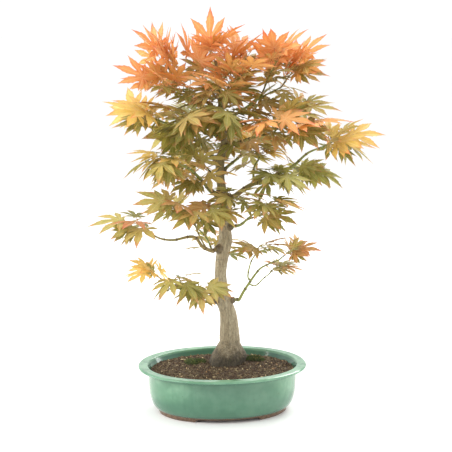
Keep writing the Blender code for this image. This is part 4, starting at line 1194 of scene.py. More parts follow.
def scatter_tree(name, grain, tilt):
    """Scatters copies of a small shape on a surface. grain(nodes) makes the shape and says whether it stands
    along the surface's normal; tilt is how far each leans, in radians."""
    nodes = Nodes(name, (
        ("Density", "NodeSocketFloat", 1000.0),
        ("Seed", "NodeSocketInt", 0),
        ("Width", "NodeSocketFloat", 0.003),
        ("Least", "NodeSocketFloat", 0.5),
        ("Sink", "NodeSocketFloat", 0.0),
        ("Material", "NodeSocketMaterial", None),
    ))
    given = nodes.given
    scattered = nodes.node("GeometryNodeDistributePointsOnFaces", {
        "Mesh": given["Geometry"], "Density": given["Density"], "Seed": given["Seed"],
    }, distribute_method="RANDOM")
    shape, stands = grain(nodes)
    lean = random_value(nodes, (-tilt, -tilt, -math.pi), (tilt, tilt, math.pi), 3, "FLOAT_VECTOR")
    if stands:
        turned = nodes.node("FunctionNodeRotateRotation", {
            "Rotation": scattered.outputs["Rotation"],
            "Rotate By": nodes.node("FunctionNodeEulerToRotation", {"Euler": lean}).outputs[0],
        }, rotation_space="LOCAL").outputs[0]
    else:
        turned = nodes.node("FunctionNodeEulerToRotation", {"Euler": lean}).outputs[0]
    spread = random_value(nodes, given["Least"], 1.0, 5)
    size = nodes.node("ShaderNodeMath", {0: spread, 1: given["Width"]}, operation="MULTIPLY").outputs[0]
    stretch = random_value(nodes, (0.7, 0.7, 0.6), (1.25, 1.0, 0.95), 8, "FLOAT_VECTOR")
    scale = nodes.node("ShaderNodeVectorMath", {0: stretch, "Scale": size}, operation="SCALE").outputs[0]
    copies = nodes.node("GeometryNodeInstanceOnPoints", {
        "Points": scattered.outputs["Points"], "Instance": shape, "Rotation": turned, "Scale": scale,
    }).outputs[0]
    down = nodes.node("ShaderNodeCombineXYZ", {"Z": given["Sink"]}).outputs[0]
    copies = nodes.node("GeometryNodeTranslateInstances", {
        "Instances": copies, "Translation": down, "Local Space": False,
    }).outputs[0]
    tone = random_value(nodes, 0.0, 1.0, 13)
    kept = nodes.node("GeometryNodeStoreNamedAttribute", {
        "Geometry": copies, "Name": "tone", "Value": tone,
    }, data_type="FLOAT", domain="INSTANCE").outputs[0]
    real = nodes.node("GeometryNodeRealizeInstances", {"Geometry": kept}).outputs[0]
    painted = nodes.node("GeometryNodeSetMaterial", {"Geometry": real, "Material": given["Material"]})
    nodes.join(painted.outputs[0], nodes.result.inputs[0])
    return nodes.tree


def round_grain(nodes):
    """A rough ball of 20 faces."""
    return nodes.node("GeometryNodeMeshIcoSphere", {"Radius": 0.5, "Subdivisions": 1}).outputs["Mesh"], False


def flat_grain(nodes):
    """A flake: a ball pressed nearly flat."""
    ball, _ = round_grain(nodes)
    flake = nodes.node("GeometryNodeTransform", {"Geometry": ball, "Scale": (1.0, 0.62, 0.26)})
    return flake.outputs[0], True


def moss_grain(nodes):
    """A pointed shoot of moss, standing up."""
    cone = nodes.node("GeometryNodeMeshCone", {
        "Vertices": 5, "Side Segments": 2, "Radius Top": 0.02, "Radius Bottom": 0.17, "Depth": 1.0,
    })
    return cone.outputs["Mesh"], True


def scatter(surface, tree, name, sizes):
    """The tree's result on a surface's mesh, as a plain mesh object."""
    obj = add_object(surface.copy(), name)
    modifier = obj.modifiers.new("scatter", "NODES")
    modifier.node_group = tree
    for item in tree.interface.items_tree:
        if item.in_out == "INPUT" and item.name in sizes:
            modifier[item.identifier] = sizes[item.name]
    return evaluated(obj, name)


def soil_finish(settings):
    """Moist crumbly soil, lighter where the grains have dried."""
    f = Finish("soil", 0.92)
    _, _, _, tone = f.marks()
    fine = f.noise(900, 4.0)
    dry = f.step(f.plus(tone, f.times(f.noise(70, 3.0), 0.8)), 0.75, 1.45)
    base = f.mix(f.step(fine, 0.3, 0.75), settings.earth, BROWN_EARTH)
    base = f.mix(dry, base, settings.dry_earth)
    base = f.lay(base, WET_EARTH, f.step(f.noise(300, 2.0), 0.55, 0.75), 0.4)
    f.bump(fine, 0.0004, 0.8)
    return f.paint(base, f.minus(0.98, f.times(fine, 0.2)))


def chip_finish(settings):
    """Pale chips of bark and grit, stained by the soil."""
    f = Finish("soil_chip", 0.8)
    _, _, _, tone = f.marks()
    grain = f.noise(1400, 3.0, stretch=(1.0, 0.25, 1.0))
    base = f.mix(f.step(tone, 0.1, 0.9), STAINED_CHIP, settings.chip)
    f.bump(grain, 0.0003, 0.5)
    return f.paint(f.lay(base, CHIP_GRAIN, f.step(grain, 0.5, 0.7), 0.5))


def moss_finish(settings):
    """Moss: painted shade on the cushion between its tufts and on the darker tufts, yellow-green at their
    ends, a few of them dry.
    """
    f = Finish("moss", 0.85, Sheen_Weight=0.2)
    _, _, _, tone = f.marks()
    up = f.plus(f.times(tone, 0.7), f.times(f.noise(260, 3.0), 0.3))
    # Low tones, the cushion's among them, take the painted shade colour.
    base = f.mix(up, settings.shade, settings.tip)
    f.bump(f.noise(2500, 2.0), 0.0002, 0.6)
    return f.paint(f.mix(f.step(tone, 0.93, 0.97), base, DRY_MOSS))


class BONSAI_OT_soil(bpy.types.Operator):
    """Make the soil, its granules and its pale chips"""

    bl_idname = "bonsai.soil"
    bl_label = "Soil"

    def execute(self, context):
        settings = context.scene.bonsai_soil
        earth, chips = soil_finish(settings), chip_finish(settings)
        whole, top = soil_shape()
        finish_piece(add_object(mesh_of(whole, "soil_body"), "soil_body"), [earth], "soil", "soil")
        surface = mesh_of(top, "soil_surface", closed=False)
        grains, flakes = scatter_tree("granules", round_grain, 3.1), scatter_tree("chips", flat_grain, 0.5)
        for name, tree, density, width, least, seed, material in (
            ("soil_granules", grains, settings.granules, settings.granule, 0.45, 4, earth),
            ("soil_crumbs", grains, settings.crumbs, settings.crumb, 0.45, 9, earth),
            ("soil_chips", flakes, settings.chips, settings.granule * 1.35, 0.35, 21, chips),
        ):
            made = scatter(surface, tree, name, {
                "Density": float(density), "Seed": seed, "Width": width, "Least": least,
                "Sink": 0.0004 if material is chips else 0.0002, "Material": material,
            })
            finish_piece(made, [], "soil", "soil")
        return {"FINISHED"}


MOSS_PATCHES = (
    ("moss_left", (-0.040, 0.020), 0.014, 0.010, 0.0),
    ("moss_right", (0.052, 0.028), 0.013, 0.010, 1.5),
)
MOSS_HEIGHT = 0.0035


MOSS_SUNK = 0.0008  # how far the cushion's edge lies in the soil


def moss_cushion(centre, half_length, half_depth, turn, rings=8, sides=32):
    """A low cushion that follows the soil, as one closed body."""
    reaches = [i / (rings - 1) for i in range(rings)]
    levels = [(reach, False) for reach in reaches[1:]] + [(1 - reach, True) for reach in reaches[:-1]]
    made = []
    for reach, over in levels:
        ring = []
        for k in range(sides):
            angle = math.tau * k / sides
            ripple = 1 + 0.12 * math.cos(3 * angle + turn)
            x = centre[0] + half_length * reach * ripple * math.cos(angle)
            y = centre[1] + half_depth * reach * ripple * math.sin(angle)
            z = soil_height(x, y) - MOSS_SUNK
            if over:
                z += MOSS_HEIGHT * (0.72 * (1 - reach**2) + 0.12) + 0.5 * lumps(x * 2, y * 2)
            ring.append(Vector((x, y, z)))
        made.append(ring)
    low = Vector((*centre, soil_height(*centre) - MOSS_SUNK))
    shape = Shape()
    # The cushion's low tone gives it nearly the shade colour: painted shade between the tufts.
    shape.add(*skin(made, low, low + Vector((0, 0, MOSS_HEIGHT * 0.84))), tone=0.1)
    return shape


class BONSAI_OT_moss(bpy.types.Operator):
    """Make the two patches of moss beside the trunk"""

    bl_idname = "bonsai.moss"
    bl_label = "Moss"

    def execute(self, context):
        settings = context.scene.bonsai_moss
        material = moss_finish(settings)
        tree = scatter_tree("tufts", moss_grain, 0.55)
        for seed, (name, centre, half_length, half_depth, turn) in enumerate(MOSS_PATCHES):
            cushion = mesh_of(moss_cushion(centre, half_length, half_depth, turn), name)
            finish_piece(add_object(cushion.copy(), f"{name}_cushion"), [material], "moss", name)
            tufts = scatter(cushion, tree, f"{name}_tufts", {
                "Density": float(settings.tufts), "Seed": seed, "Width": settings.tuft, "Least": 0.35,
                "Sink": 0.0, "Material": material,
            })
            finish_piece(tufts, [], "moss", name)
        return {"FINISHED"}


# --- Trunk and branches ---
# Old scars and knots on the trunk: share of its length, heading, radius, how far it stands out.
KNOTS = (
    (0.205, 200, 0.0040, 0.0010), (0.228, 350, 0.0044, 0.0014), (0.385, 20, 0.0036, 0.0008),
    (0.402, 165, 0.0038, 0.0012), (0.462, 10, 0.0036, 0.0012), (0.548, 335, 0.0036, 0.0014),
    (0.562, 205, 0.0034, 0.0012), (0.640, 100, 0.0030, 0.0008), (0.680, 240, 0.0030, 0.0010),
    (0.745, 190, 0.0026, 0.0010), (0.805, 20, 0.0024, 0.0010), (0.300, 60, 0.0040, 0.0006),
    (0.340, 250, 0.0038, 0.0006), (0.120, 120, 0.0052, 0.0008),
)
OLD_UNIONS = ("left_low", "right_low", "left_mid", "right_mid")  # branches that spring from a swollen knob


@functools.lru_cache(maxsize=1)
def wood():
    """The trunk's surface, and each stem's middle lines with a tree of its surface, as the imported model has
    them. The leaves find their places round these."""
    trunk_tree = tree_of(add_tube, *trunk_rings(), TRUNK_SIDES, trunk_swell, LEVEL_RINGS)
    parents = {"trunk": ([trunk_line()[0]], trunk_tree)}
    fine = {}
    for name, arms in BRANCHES.items():
        lines, fine_lines = [], []
        whole = bmesh.new()
        for number, arm in enumerate(arms):
            points = [in_tree(p) for p in arm.points]
            if number == 0:
                _, collar_end, way = collar_of(arm, trunk_tree)
                start = collar_end + way * CLEARANCE
                straight = [start + way * arm.radius * reach for reach in (0.0, 0.8, 1.6)]
                points = straight + [p for p in points if (p - straight[-1]).dot(way) > arm.radius]
            else:
                start, _ = along(lines[0], arm.share)
                points = [start, *points]
            line = smooth_route(points, 2)
            add_tube(whole, line, taper(arm.radius, arm.tip_radius, len(line)), BRANCH_SIDES)
            lines.append(line)
            fine_lines.append(smooth_route(points, 10))
        parents[name] = (lines, BVHTree.FromBMesh(whole))
        fine[name] = fine_lines
        whole.free()
    return trunk_tree, parents, fine


def lumpy_ball(centre, radius, squash, way, seed):
    """Points and faces of a rough ball, flattened along a way."""
    bm = bmesh.new()
    bmesh.ops.create_icosphere(bm, subdivisions=3, radius=1.0)
    turn = way.to_track_quat("Z", "Y").to_matrix()
    points = []
    for v in bm.verts:
        reach = radius * (1 + 0.18 * noise.noise(v.co * 1.7 + Vector((seed, 0, 0))))
        points.append(centre + turn @ Vector((v.co.x * reach, v.co.y * reach * 0.8, v.co.z * reach * squash)))
    faces = [tuple(v.index for v in f.verts) for f in bm.faces]
    bm.free()
    return points, faces


def knot_places():
    """Each knot: its place on the trunk's surface, the way it looks, its radius and how far it stands out."""
    trunk_tree, _, _ = wood()
    centres, _ = trunk_line()
    for place, heading, radius, reach in KNOTS:
        middle, _ = along(centres, place)
        out = direction(heading, 0)
        hit, _, _, _ = trunk_tree.ray_cast(middle + out * 0.06, -out)
        if hit is None:
            raise RuntimeError("a knot found no bark")
        yield hit, out, radius, reach


def trunk_shape():
    """The trunk, its branch collars and its knots as overlapping closed parts, ready to be made one."""
    steps, sides = 10, 56
    centres, radii = trunk_rings()
    line = smooth_route(centres, steps)
    widths = [p.x for p in smooth_route([Vector((radius, 0, 0)) for radius in radii], steps)]
    last = len(line) - 1
    side = Vector((1, 0, 0))
    rings = []
    for i, (centre, radius) in enumerate(zip(line, widths)):
        way = (line[min(i + 1, last)] - line[max(i - 1, 0)]).normalized()
        level = smoothstep(SOIL_Z + 0.018, SOIL_Z + 0.045, centre.z)
        way = Vector((0, 0, 1)).lerp(way, level).normalized()
        side = (side - way * side.dot(way)).normalized()
        across = way.cross(side)
        ring = []
        for k in range(sides):
            angle = math.tau * k / sides
            reach = radius * trunk_swell(i / steps, angle)
            ring.append(centre + (side * math.cos(angle) + across * math.sin(angle)) * reach)
        rings.append(ring)
    points, faces = skin(rings)
    ends = [tuple(range(sides))[::-1], tuple(range(last * sides, (last + 1) * sides))]
    shape = Shape()
    shape.add(points, faces + ends)
    trunk_tree, _, _ = wood()
    for name, arms in BRANCHES.items():
        middle, end, way = collar_of(arms[0], trunk_tree)
        reach = (end - middle).length
        # The collar widens as it comes off the trunk and wrinkles where it ends.
        stops = (0.0, reach - 0.0052, reach - 0.0034, reach - 0.0018, reach - 0.0006, reach)
        shares = (2.2, 2.05, 1.75, 1.62, 1.55, 1.15)
        stops = [max(0.0, stop) + 0.00001 * k for k, stop in enumerate(stops)]
        shape.add(*tube([middle + way * stop for stop in stops], [arms[0].radius * s for s in shares], 24))
        if name in OLD_UNIONS:
            shape.add(*lumpy_ball(end - way * 0.0028, max(0.0040, arms[0].radius * 1.9), 0.8, way, len(name)))
    for seed, (place, out, radius, reach) in enumerate(knot_places()):
        shape.add(*lumpy_ball(place - out * (radius * 0.6 - reach), radius, 0.6, out, seed))
    return shape


def scar_places():
    """The collars and knots on the trunk: where each is, and how wide."""
    trunk_tree, _, _ = wood()
    for arms in BRANCHES.values():
        _, end, way = collar_of(arms[0], trunk_tree)
        yield end - way * COLLAR_LENGTH * 0.5, max(0.0042, arms[0].radius * 2.2)
    for place, _, radius, _ in knot_places():
        yield place, radius


def upright_noise(p, across, up, shift=0.0):
    return noise.noise(Vector((p.x * across, p.y * across, p.z * up + shift)))


def bark_ridges(mesh, settings):
    """Moves the trunk's points out and in as ridged, wrinkled bark, and marks those near a scar."""
    scars = list(scar_places())
    nearest = KDTree(len(scars))
    for number, (place, _) in enumerate(scars):
        nearest.insert(place, number)
    nearest.balance()
    marks = []
    centres, radii = trunk_line()
    heights = [c.z for c in centres]
    mesh.update()
    normals = [v.normal.copy() for v in mesh.vertices]
    for v, normal in zip(mesh.vertices, normals):
        p = v.co - POT_PLACE
        above = p.z - SOIL_Z
        k = max(0, min(len(heights) - 2, sum(h < p.z for h in heights) - 1))
        girth = radii[k]
        strength = min(1.0, girth / 0.012) * settings.ridge
        fine = upright_noise(p, 520, 70)
        streak = abs(upright_noise(p, 230, 26))
        ring = upright_noise(p, 60, 420)
        wide = noise.noise(p * 75)
        knob = 1 - smoothstep(0.012, 0.040, above)
        wrinkle = abs(upright_noise(p, 110, 330, 2 * wide))
        out = strength * (0.45 * fine + 1.5 * (0.35 - streak) + 0.35 * ring * (1 - knob) + 0.9 * wide)
        out += knob * (0.0011 * (0.3 - wrinkle) + 0.0014 * wide)
        # A soft bulge and then a crease part the knob from the trunk.
        wander = above + 0.004 * wide
        out += 0.0021 * bell(wander - 0.017, 0.0085) - 0.0012 * bell(wander - 0.0315, 0.004)
        out += 0.0007 * upright_noise(p, 45, 520) * bell(above - 0.040, 0.009)
        _, number, distance = nearest.find(p)
        scar = 1 - smoothstep(0.75, 1.7, distance / scars[number][1])
        scar *= 1.0 if number < len(BRANCHES) else 0.35
        out += scar * (0.0011 * (0.4 - abs(noise.noise(p * 420))) + 0.0007)
        marks += (scar, 0.0, 0.0)
        v.co += normal * out
    mesh.attributes.new("mark", "FLOAT_VECTOR", "POINT").data.foreach_set("vector", marks)
    mesh.update()


def bark_finish(settings):
    """Grey-tan bark in fine upright streaks, with a painted highlight on its ridges, dark in its furrows
    (partly painted shade) and towards the soil, greener higher up.
    """
    f = Finish("trunk_bark", 0.8)
    z = f.height()
    streak = f.noise(230, 7.0, stretch=(1.0, 1.0, 0.11), rough=0.72)
    hair = f.noise(780, 6.0, stretch=(1.0, 1.0, 0.22), rough=0.75)
    ring = f.noise(60, 3.0, stretch=(0.5, 0.5, 7.0))
    blotch = f.noise(85, 4.0)
    # Painted highlight: the pale bark follows the same streaks that raise the bump, so it lies on the ridges.
    base = f.mix(f.step(streak, 0.42, 0.68), settings.bark, settings.bark_highlight)
    # Darker bark in the furrows, where the hair noise sinks the bump: partly the furrows' own colour, partly
    # painted shade.
    base = f.lay(base, settings.bark_dark_and_shade, f.step(hair, 0.53, 0.40), 0.55)
    base = f.lay(base, settings.bark_dark_and_shade, f.step(ring, 0.60, 0.72), 0.35)
    upper = f.mix(f.step(streak, 0.40, 0.7), settings.upper_bark, GREEN_BARK)
    base = f.lay(base, upper, f.step(f.waver(z, blotch, 0.16), SOIL_Z + 0.1735, SOIL_Z + 0.2735), 0.8)
    knob = f.mix(f.step(hair, 0.4, 0.65), DARK_KNOB, PALE_KNOB)
    base = f.lay(base, knob, f.step(f.waver(z, blotch, 0.05), SOIL_Z + 0.0395, SOIL_Z + 0.0135), 0.92)
    # The bark darkens towards the soil.
    base = f.lay(base, BARK_NEAR_SOIL, f.step(f.waver(z, blotch, 0.03), SOIL_Z + 0.0215, SOIL_Z + 0.0015), 0.65)
    scar, _, _, _ = f.marks()
    scarred = f.mix(f.step(hair, 0.42, 0.62), settings.bark_dark_and_shade, PALE_SCAR)
    base = f.lay(base, scarred, f.step(scar, 0.15, 0.9), 0.8)
    moss = f.times(f.step(f.noise(180, 4.0), 0.62, 0.72), f.step(z, SOIL_Z + 0.1035, SOIL_Z + 0.0235))
    base = f.lay(base, MOSSY_BARK, moss, 0.4)
    relief = f.plus(f.times(hair, 0.8), f.times(streak, 0.7))
    f.bump(f.plus(relief, f.times(f.noise(1600, 3.0), 0.25)), 0.0009, 0.75)
    return f.paint(base, f.minus(0.95, f.times(streak, 0.25)))


def young_bark_finish(settings, name):
    """Smooth olive bark, browner on old wood, with dark joints. The mark holds how near a joint is, and how
    thick the stem is against THICK_STEM."""
    f = Finish(name, 0.55)
    joint, thick, _, tone = f.marks()
    streak = f.noise(420, 4.0, stretch=(1.0, 1.0, 0.4))
    base = f.mix(f.step(streak, 0.35, 0.7), settings.young_bark, PALE_TWIG)
    base = f.lay(base, OLD_TWIG, f.step(f.plus(thick, f.times(streak, 0.5)), 0.75, 1.25), 0.75)
    base = f.lay(base, RED_TWIG, f.step(f.plus(tone, f.times(f.noise(38, 2.0), 0.6)), 0.85, 1.15), 0.45)
    base = f.lay(base, TWIG_SPECK, f.step(f.noise(1300, 2.0), 0.68, 0.74), 0.5)
    base = f.lay(base, settings.node_bark, f.step(joint, 0.15, 0.85), 0.85)
    f.bump(f.plus(streak, f.times(f.noise(1800, 2.0), 0.3)), 0.0003, 0.5)
    return f.paint(base, f.plus(0.42, f.times(streak, 0.3)))


THICK_STEM = 0.004
JOINT_REACH = 0.0011  # how far along the stem a joint's swelling goes
JOINT_STOPS = (-0.0016, -0.0006, 0.0006, 0.0016)  # where a joint has rings of its own
LEAST_STEP = 0.00015  # rings nearer than this are left out
BUD_RADII = (0.00055, 0.0006, 0.00012)


def add_stem(shape, line, start_radius, end_radius, sides, gap, rng):
    """A stem with swollen joints along it, a pair of buds at each, and the joints marked."""
    lengths = [0.0]
    for a, b in zip(line, line[1:]):
        lengths.append(lengths[-1] + (b - a).length)
    total = lengths[-1]

    def place(stop):
        """The point at a length along the stem, the stem's way there and its radius."""
        k = max(0, min(len(line) - 2, sum(v <= stop for v in lengths) - 1))
        t = (stop - lengths[k]) / max(1e-9, lengths[k + 1] - lengths[k])
        radius = start_radius + (end_radius - start_radius) * stop / total
        return line[k].lerp(line[k + 1], t), (line[k + 1] - line[k]).normalized(), radius

    number = max(1, round(total / gap))
    joints = [(k + 0.5 + rng.uniform(-0.18, 0.18)) * total / number for k in range(number)]
    beside = [min(total, max(0.0, joint + reach)) for joint in joints for reach in JOINT_STOPS]
    rings = []
    for stop in sorted({*lengths, *beside}):
        near = max(bell(stop - joint, JOINT_REACH) for joint in joints)
        point, _, radius = place(stop)
        rings.append((point, radius * (1 + 0.22 * near) + 0.00008 * near, (near, radius / THICK_STEM, 0.0)))
    rings = rings[:1] + [b for a, b in zip(rings, rings[1:]) if (b[0] - a[0]).length > LEAST_STEP]
    points, radii, marks = map(list, zip(*rings))
    ring_marks = [mark for mark in marks for _ in range(sides)] + [marks[0], marks[-1]]
    shape.add(*tube(points, radii, sides), marks=ring_marks, tone=rng.random())
    for joint in joints:
        centre, way, radius = place(joint)
        out = (Matrix.Rotation(rng.uniform(0, math.tau), 3, way) @ way.orthogonal()).normalized()
        for side in (out, -out):
            base = centre + side * radius * 0.7
            tip = base + (side * 0.7 + way).normalized() * (0.0012 + radius * 0.35)
            bud = tube([base, base.lerp(tip, 0.45) + side * 0.0001, tip], BUD_RADII, 6)
            shape.add(*bud, marks=[(0.9, 0.2, 0.0)] * len(bud[0]), tone=rng.random())


class BONSAI_OT_trunk(bpy.types.Operator):
    """Make the trunk with its collars, knots and bark"""

    bl_idname = "bonsai.trunk"
    bl_label = "Trunk"

    def execute(self, context):
        settings = context.scene.bonsai_bark
        obj = add_object(mesh_of(trunk_shape(), "trunk_parts"), "trunk_parts")
        joined = obj.modifiers.new("join", "REMESH")
        joined.mode, joined.voxel_size, joined.adaptivity = "VOXEL", settings.voxel, 0.0
        relaxed = obj.modifiers.new("relax", "SMOOTH")
        relaxed.factor, relaxed.iterations = 0.5, 5
        obj = evaluated(obj, "trunk_wood")
        bark_ridges(obj.data, settings)
        finish_piece(obj, [bark_finish(settings)], "trunk_bark", "trunk", sharp=180)
        return {"FINISHED"}


class BONSAI_OT_branches(bpy.types.Operator):
    """Make the branches with their joints and buds"""

    bl_idname = "bonsai.branches"
    bl_label = "Branches"

    def execute(self, context):
        settings = context.scene.bonsai_bark
        material = young_bark_finish(settings, "young_bark")
        _, _, fine = wood()
        for name, arms in BRANCHES.items():
            rng = random.Random(f"branch {name}")
            shape = Shape()
            for number, (arm, line) in enumerate(zip(arms, fine[name])):
                if number == 0:
                    # It is let into its collar a little, so that no gap shows.
                    line = [line[0] - (line[1] - line[0]).normalized() * 0.0016, *line]
                add_stem(shape, line, arm.radius, arm.tip_radius, 14, settings.joint_gap, rng)
            piece = add_object(mesh_of(shape, f"{name}_wood"), f"{name}_wood")
            finish_piece(piece, [material], "young_bark", f"branch_{name}", sharp=60)
        return {"FINISHED"}


# --- Leafy shoots ---
# The lobes that a finished blade has, with the two small ones beside the stalk: angle, length against the
# middle lobe, and half the widest part against the middle lobe's.
BLADE_LOBES = (
    (122, 0.27, 0.36), (80, 0.56, 0.66), (40, 0.86, 0.90), (0, 1.0, 1.0), (-40, 0.86, 0.90),
    (-80, 0.56, 0.66), (-122, 0.27, 0.36),
)
NOTCH_REACHES = (0.13, 0.21, 0.26, 0.26, 0.21, 0.13)
STALK_SIDE, STALK_NOTCH = 26, 0.10  # the edge beside the stalk: degrees on from the last lobe, and reach
SMALL_LOBE = 0.4  # a lobe shorter than this has fewer teeth
# A lobe's half width against its widest, at shares of its length from the notch to the tip.
LOBE_CURVE = ((0.0, 0.72), (0.14, 0.88), (0.30, 1.0), (0.42, 0.96), (0.56, 0.76), (0.70, 0.47), (0.82, 0.23),
              (0.92, 0.09), (1.0, 0.0))


def lobe_width(at):
    for (low, first), (high, second) in zip(LOBE_CURVE, LOBE_CURVE[1:]):
        if at <= high:
            return first + (second - first) * (at - low) / (high - low)
    return 0.0


def lobe_side(turn, reach, half_width, notch, teeth, depth):
    """One side of a lobe from its notch to just short of its tip: each point's angle from the lobe's middle
    line, and its distance from the stalk. notch is the notch's turn and reach."""
    limit = spread = abs(math.radians(notch[0] - turn))
    along_notch, across_notch = notch[1] * math.cos(spread), notch[1] * math.sin(spread)
    points = []
    for k in range(teeth):
        for at, push in (((k + 0.10) / teeth, -depth), ((k + 0.82) / teeth, depth)):
            at = 0.05 + 0.93 * at
            blend = smoothstep(0.0, 0.25, at)
            across = across_notch * (1 - blend) + half_width * lobe_width(at) * blend
            across *= 1 + push * (1 - 0.5 * at)
            forward = along_notch + (reach - along_notch) * at
            limit = min(math.atan2(across, forward), limit * 0.985)
            points.append((limit, math.hypot(across, forward)))
    return points


@functools.lru_cache(maxsize=64)
def blade_edge(teeth, depth, width, form):
    """The blade's edge round from the left of its stalk: across, forward and distance from the lobe's middle
    line, against the middle lobe's length. form is one of a few grown forms."""
    rng = random.Random(f"form {form}")
    lobes = [
        (turn + rng.uniform(-4, 4), reach * rng.uniform(0.94, 1.05), width * wide * rng.uniform(0.92, 1.06))
        for turn, reach, wide in BLADE_LOBES
    ]
    notches = []
    for (turn, _, _), (after, _, _), reach in zip(lobes, lobes[1:], NOTCH_REACHES):
        notches.append(((turn + after) / 2, reach * rng.uniform(0.9, 1.08)))
    notches = [(lobes[0][0] + STALK_SIDE, STALK_NOTCH), *notches, (lobes[-1][0] - STALK_SIDE, STALK_NOTCH)]
    edge = []

    def put(turn, reach, off):
        angle = math.radians(turn)
        edge.append((math.sin(angle) * reach, math.cos(angle) * reach, off))

    def put_notch(notch, lobe):
        put(*notch, abs(math.sin(math.radians(notch[0] - lobe[0]))) * notch[1])

    for lobe, before, after in zip(lobes, notches, notches[1:]):
        turn, reach, _ = lobe
        tooth_count = max(1, teeth - 3) if reach < SMALL_LOBE else teeth
        put_notch(before, lobe)
        for angle, distance in lobe_side(*lobe, before, tooth_count, depth):
            put(turn + math.degrees(angle), distance, math.sin(angle) * distance)
        put(turn, reach, 0.0)
        for angle, distance in lobe_side(*lobe, after, tooth_count, depth)[::-1]:
            put(turn - math.degrees(angle), distance, math.sin(angle) * distance)
    put_notch(notches[-1], lobes[-1])
    return edge


BLADE_FORMS = 9
BLADE_RINGS = (0.30, 0.58, 0.82)
HUB = 0.03  # where the veins meet, against the middle lobe
LOBES_FROM = NOTCH * 0.8  # where a blade's flush towards its tips starts, against the middle lobe


def add_blade(shape, leaf, settings, rng, slot, tone):
    """One blade as a thin closed shell: keeled along its lobes, drooping at their tips, a little curled."""
    form = rng.randrange(BLADE_FORMS)
    edge = blade_edge(settings.teeth, settings.tooth_depth, settings.lobe_width, form)
    left = leaf.normal.cross(leaf.forward)
    droop = LEAF_DROOP * rng.uniform(0.75, 1.35)
    keel, wave, phase = rng.uniform(0.10, 0.34), rng.uniform(0.004, 0.014), rng.uniform(0, math.tau)
    twist = rng.uniform(-0.10, 0.10)
    thick = settings.blade / 2 / leaf.length
    points, marks, faces = [], [], []

    def put(across, forward, off, lift, share_out, reach):
        far = across * across + forward * forward
        ripple = math.sin(9 * math.sqrt(far) + 3 * math.atan2(across, forward + 0.1) + phase)
        height = keel * off - droop * far + twist * across * forward + wave * ripple * far**0.5 + lift
        place = leaf.forward * forward + left * across + leaf.normal * height
        points.append(leaf.base + place * leaf.length)
        marks.append((off, max(0.0, (reach - LOBES_FROM) / (1 - LOBES_FROM)), share_out))

    for across, forward, off in edge:
        put(across, forward, off, 0.0, 1.0, math.hypot(across, forward))
    for lift in (thick, -thick):
        for ring in BLADE_RINGS:
            for across, forward, off in edge:
                reach = math.hypot(across, forward) * ring
                put(across * ring, HUB + (forward - HUB) * ring, off * ring, lift, ring, reach)
        put(0.0, HUB, 0.0, lift, 0.0, 0.0)
    n = len(edge)
    for side in (0, 1):
        start = n + side * (len(BLADE_RINGS) * n + 1)
        rings = [start + k * n for k in range(len(BLADE_RINGS))] + [0]
        hub = start + len(BLADE_RINGS) * n
        for k in range(n):
            j = (k + 1) % n
            found = [(hub, rings[0] + k, rings[0] + j)]
            found += [(low + k, high + k, high + j, low + j) for low, high in zip(rings, rings[1:])]
            faces += found if side else [face[::-1] for face in found]
    shape.add(points, faces, slot, marks, tone)


# A stalk's share of its length, radius, and how far it has turned red there.
STALK_RINGS = (
    (0.0, 0.00085, 0.0), (0.08, 0.00052, 0.1), (0.3, 0.00042, 0.4), (0.55, 0.00040, 0.6), (0.8, 0.00042, 0.8),
    (1.0, 0.00050, 1.0),
)


def add_stalk(shape, root, leaf, rng, slot):
    """The leaf's stalk: thick where it clasps the twig, thin and gently bowed to the blade."""
    span = leaf.base + leaf.forward * leaf.length * HUB - root
    bow = Vector((0, 0, -0.05 - 0.06 * rng.random())) * span.length
    line = [root + span * t + bow * (4 * t * (1 - t)) for t, _, _ in STALK_RINGS]
    sides = 6
    reds = [red for _, _, red in STALK_RINGS for _ in range(sides)] + [0.0, 1.0]
    shape.add(*tube(line, [radius for _, radius, _ in STALK_RINGS], sides), slot,
              [(red, 0.1, 0.0) for red in reds], rng.random())


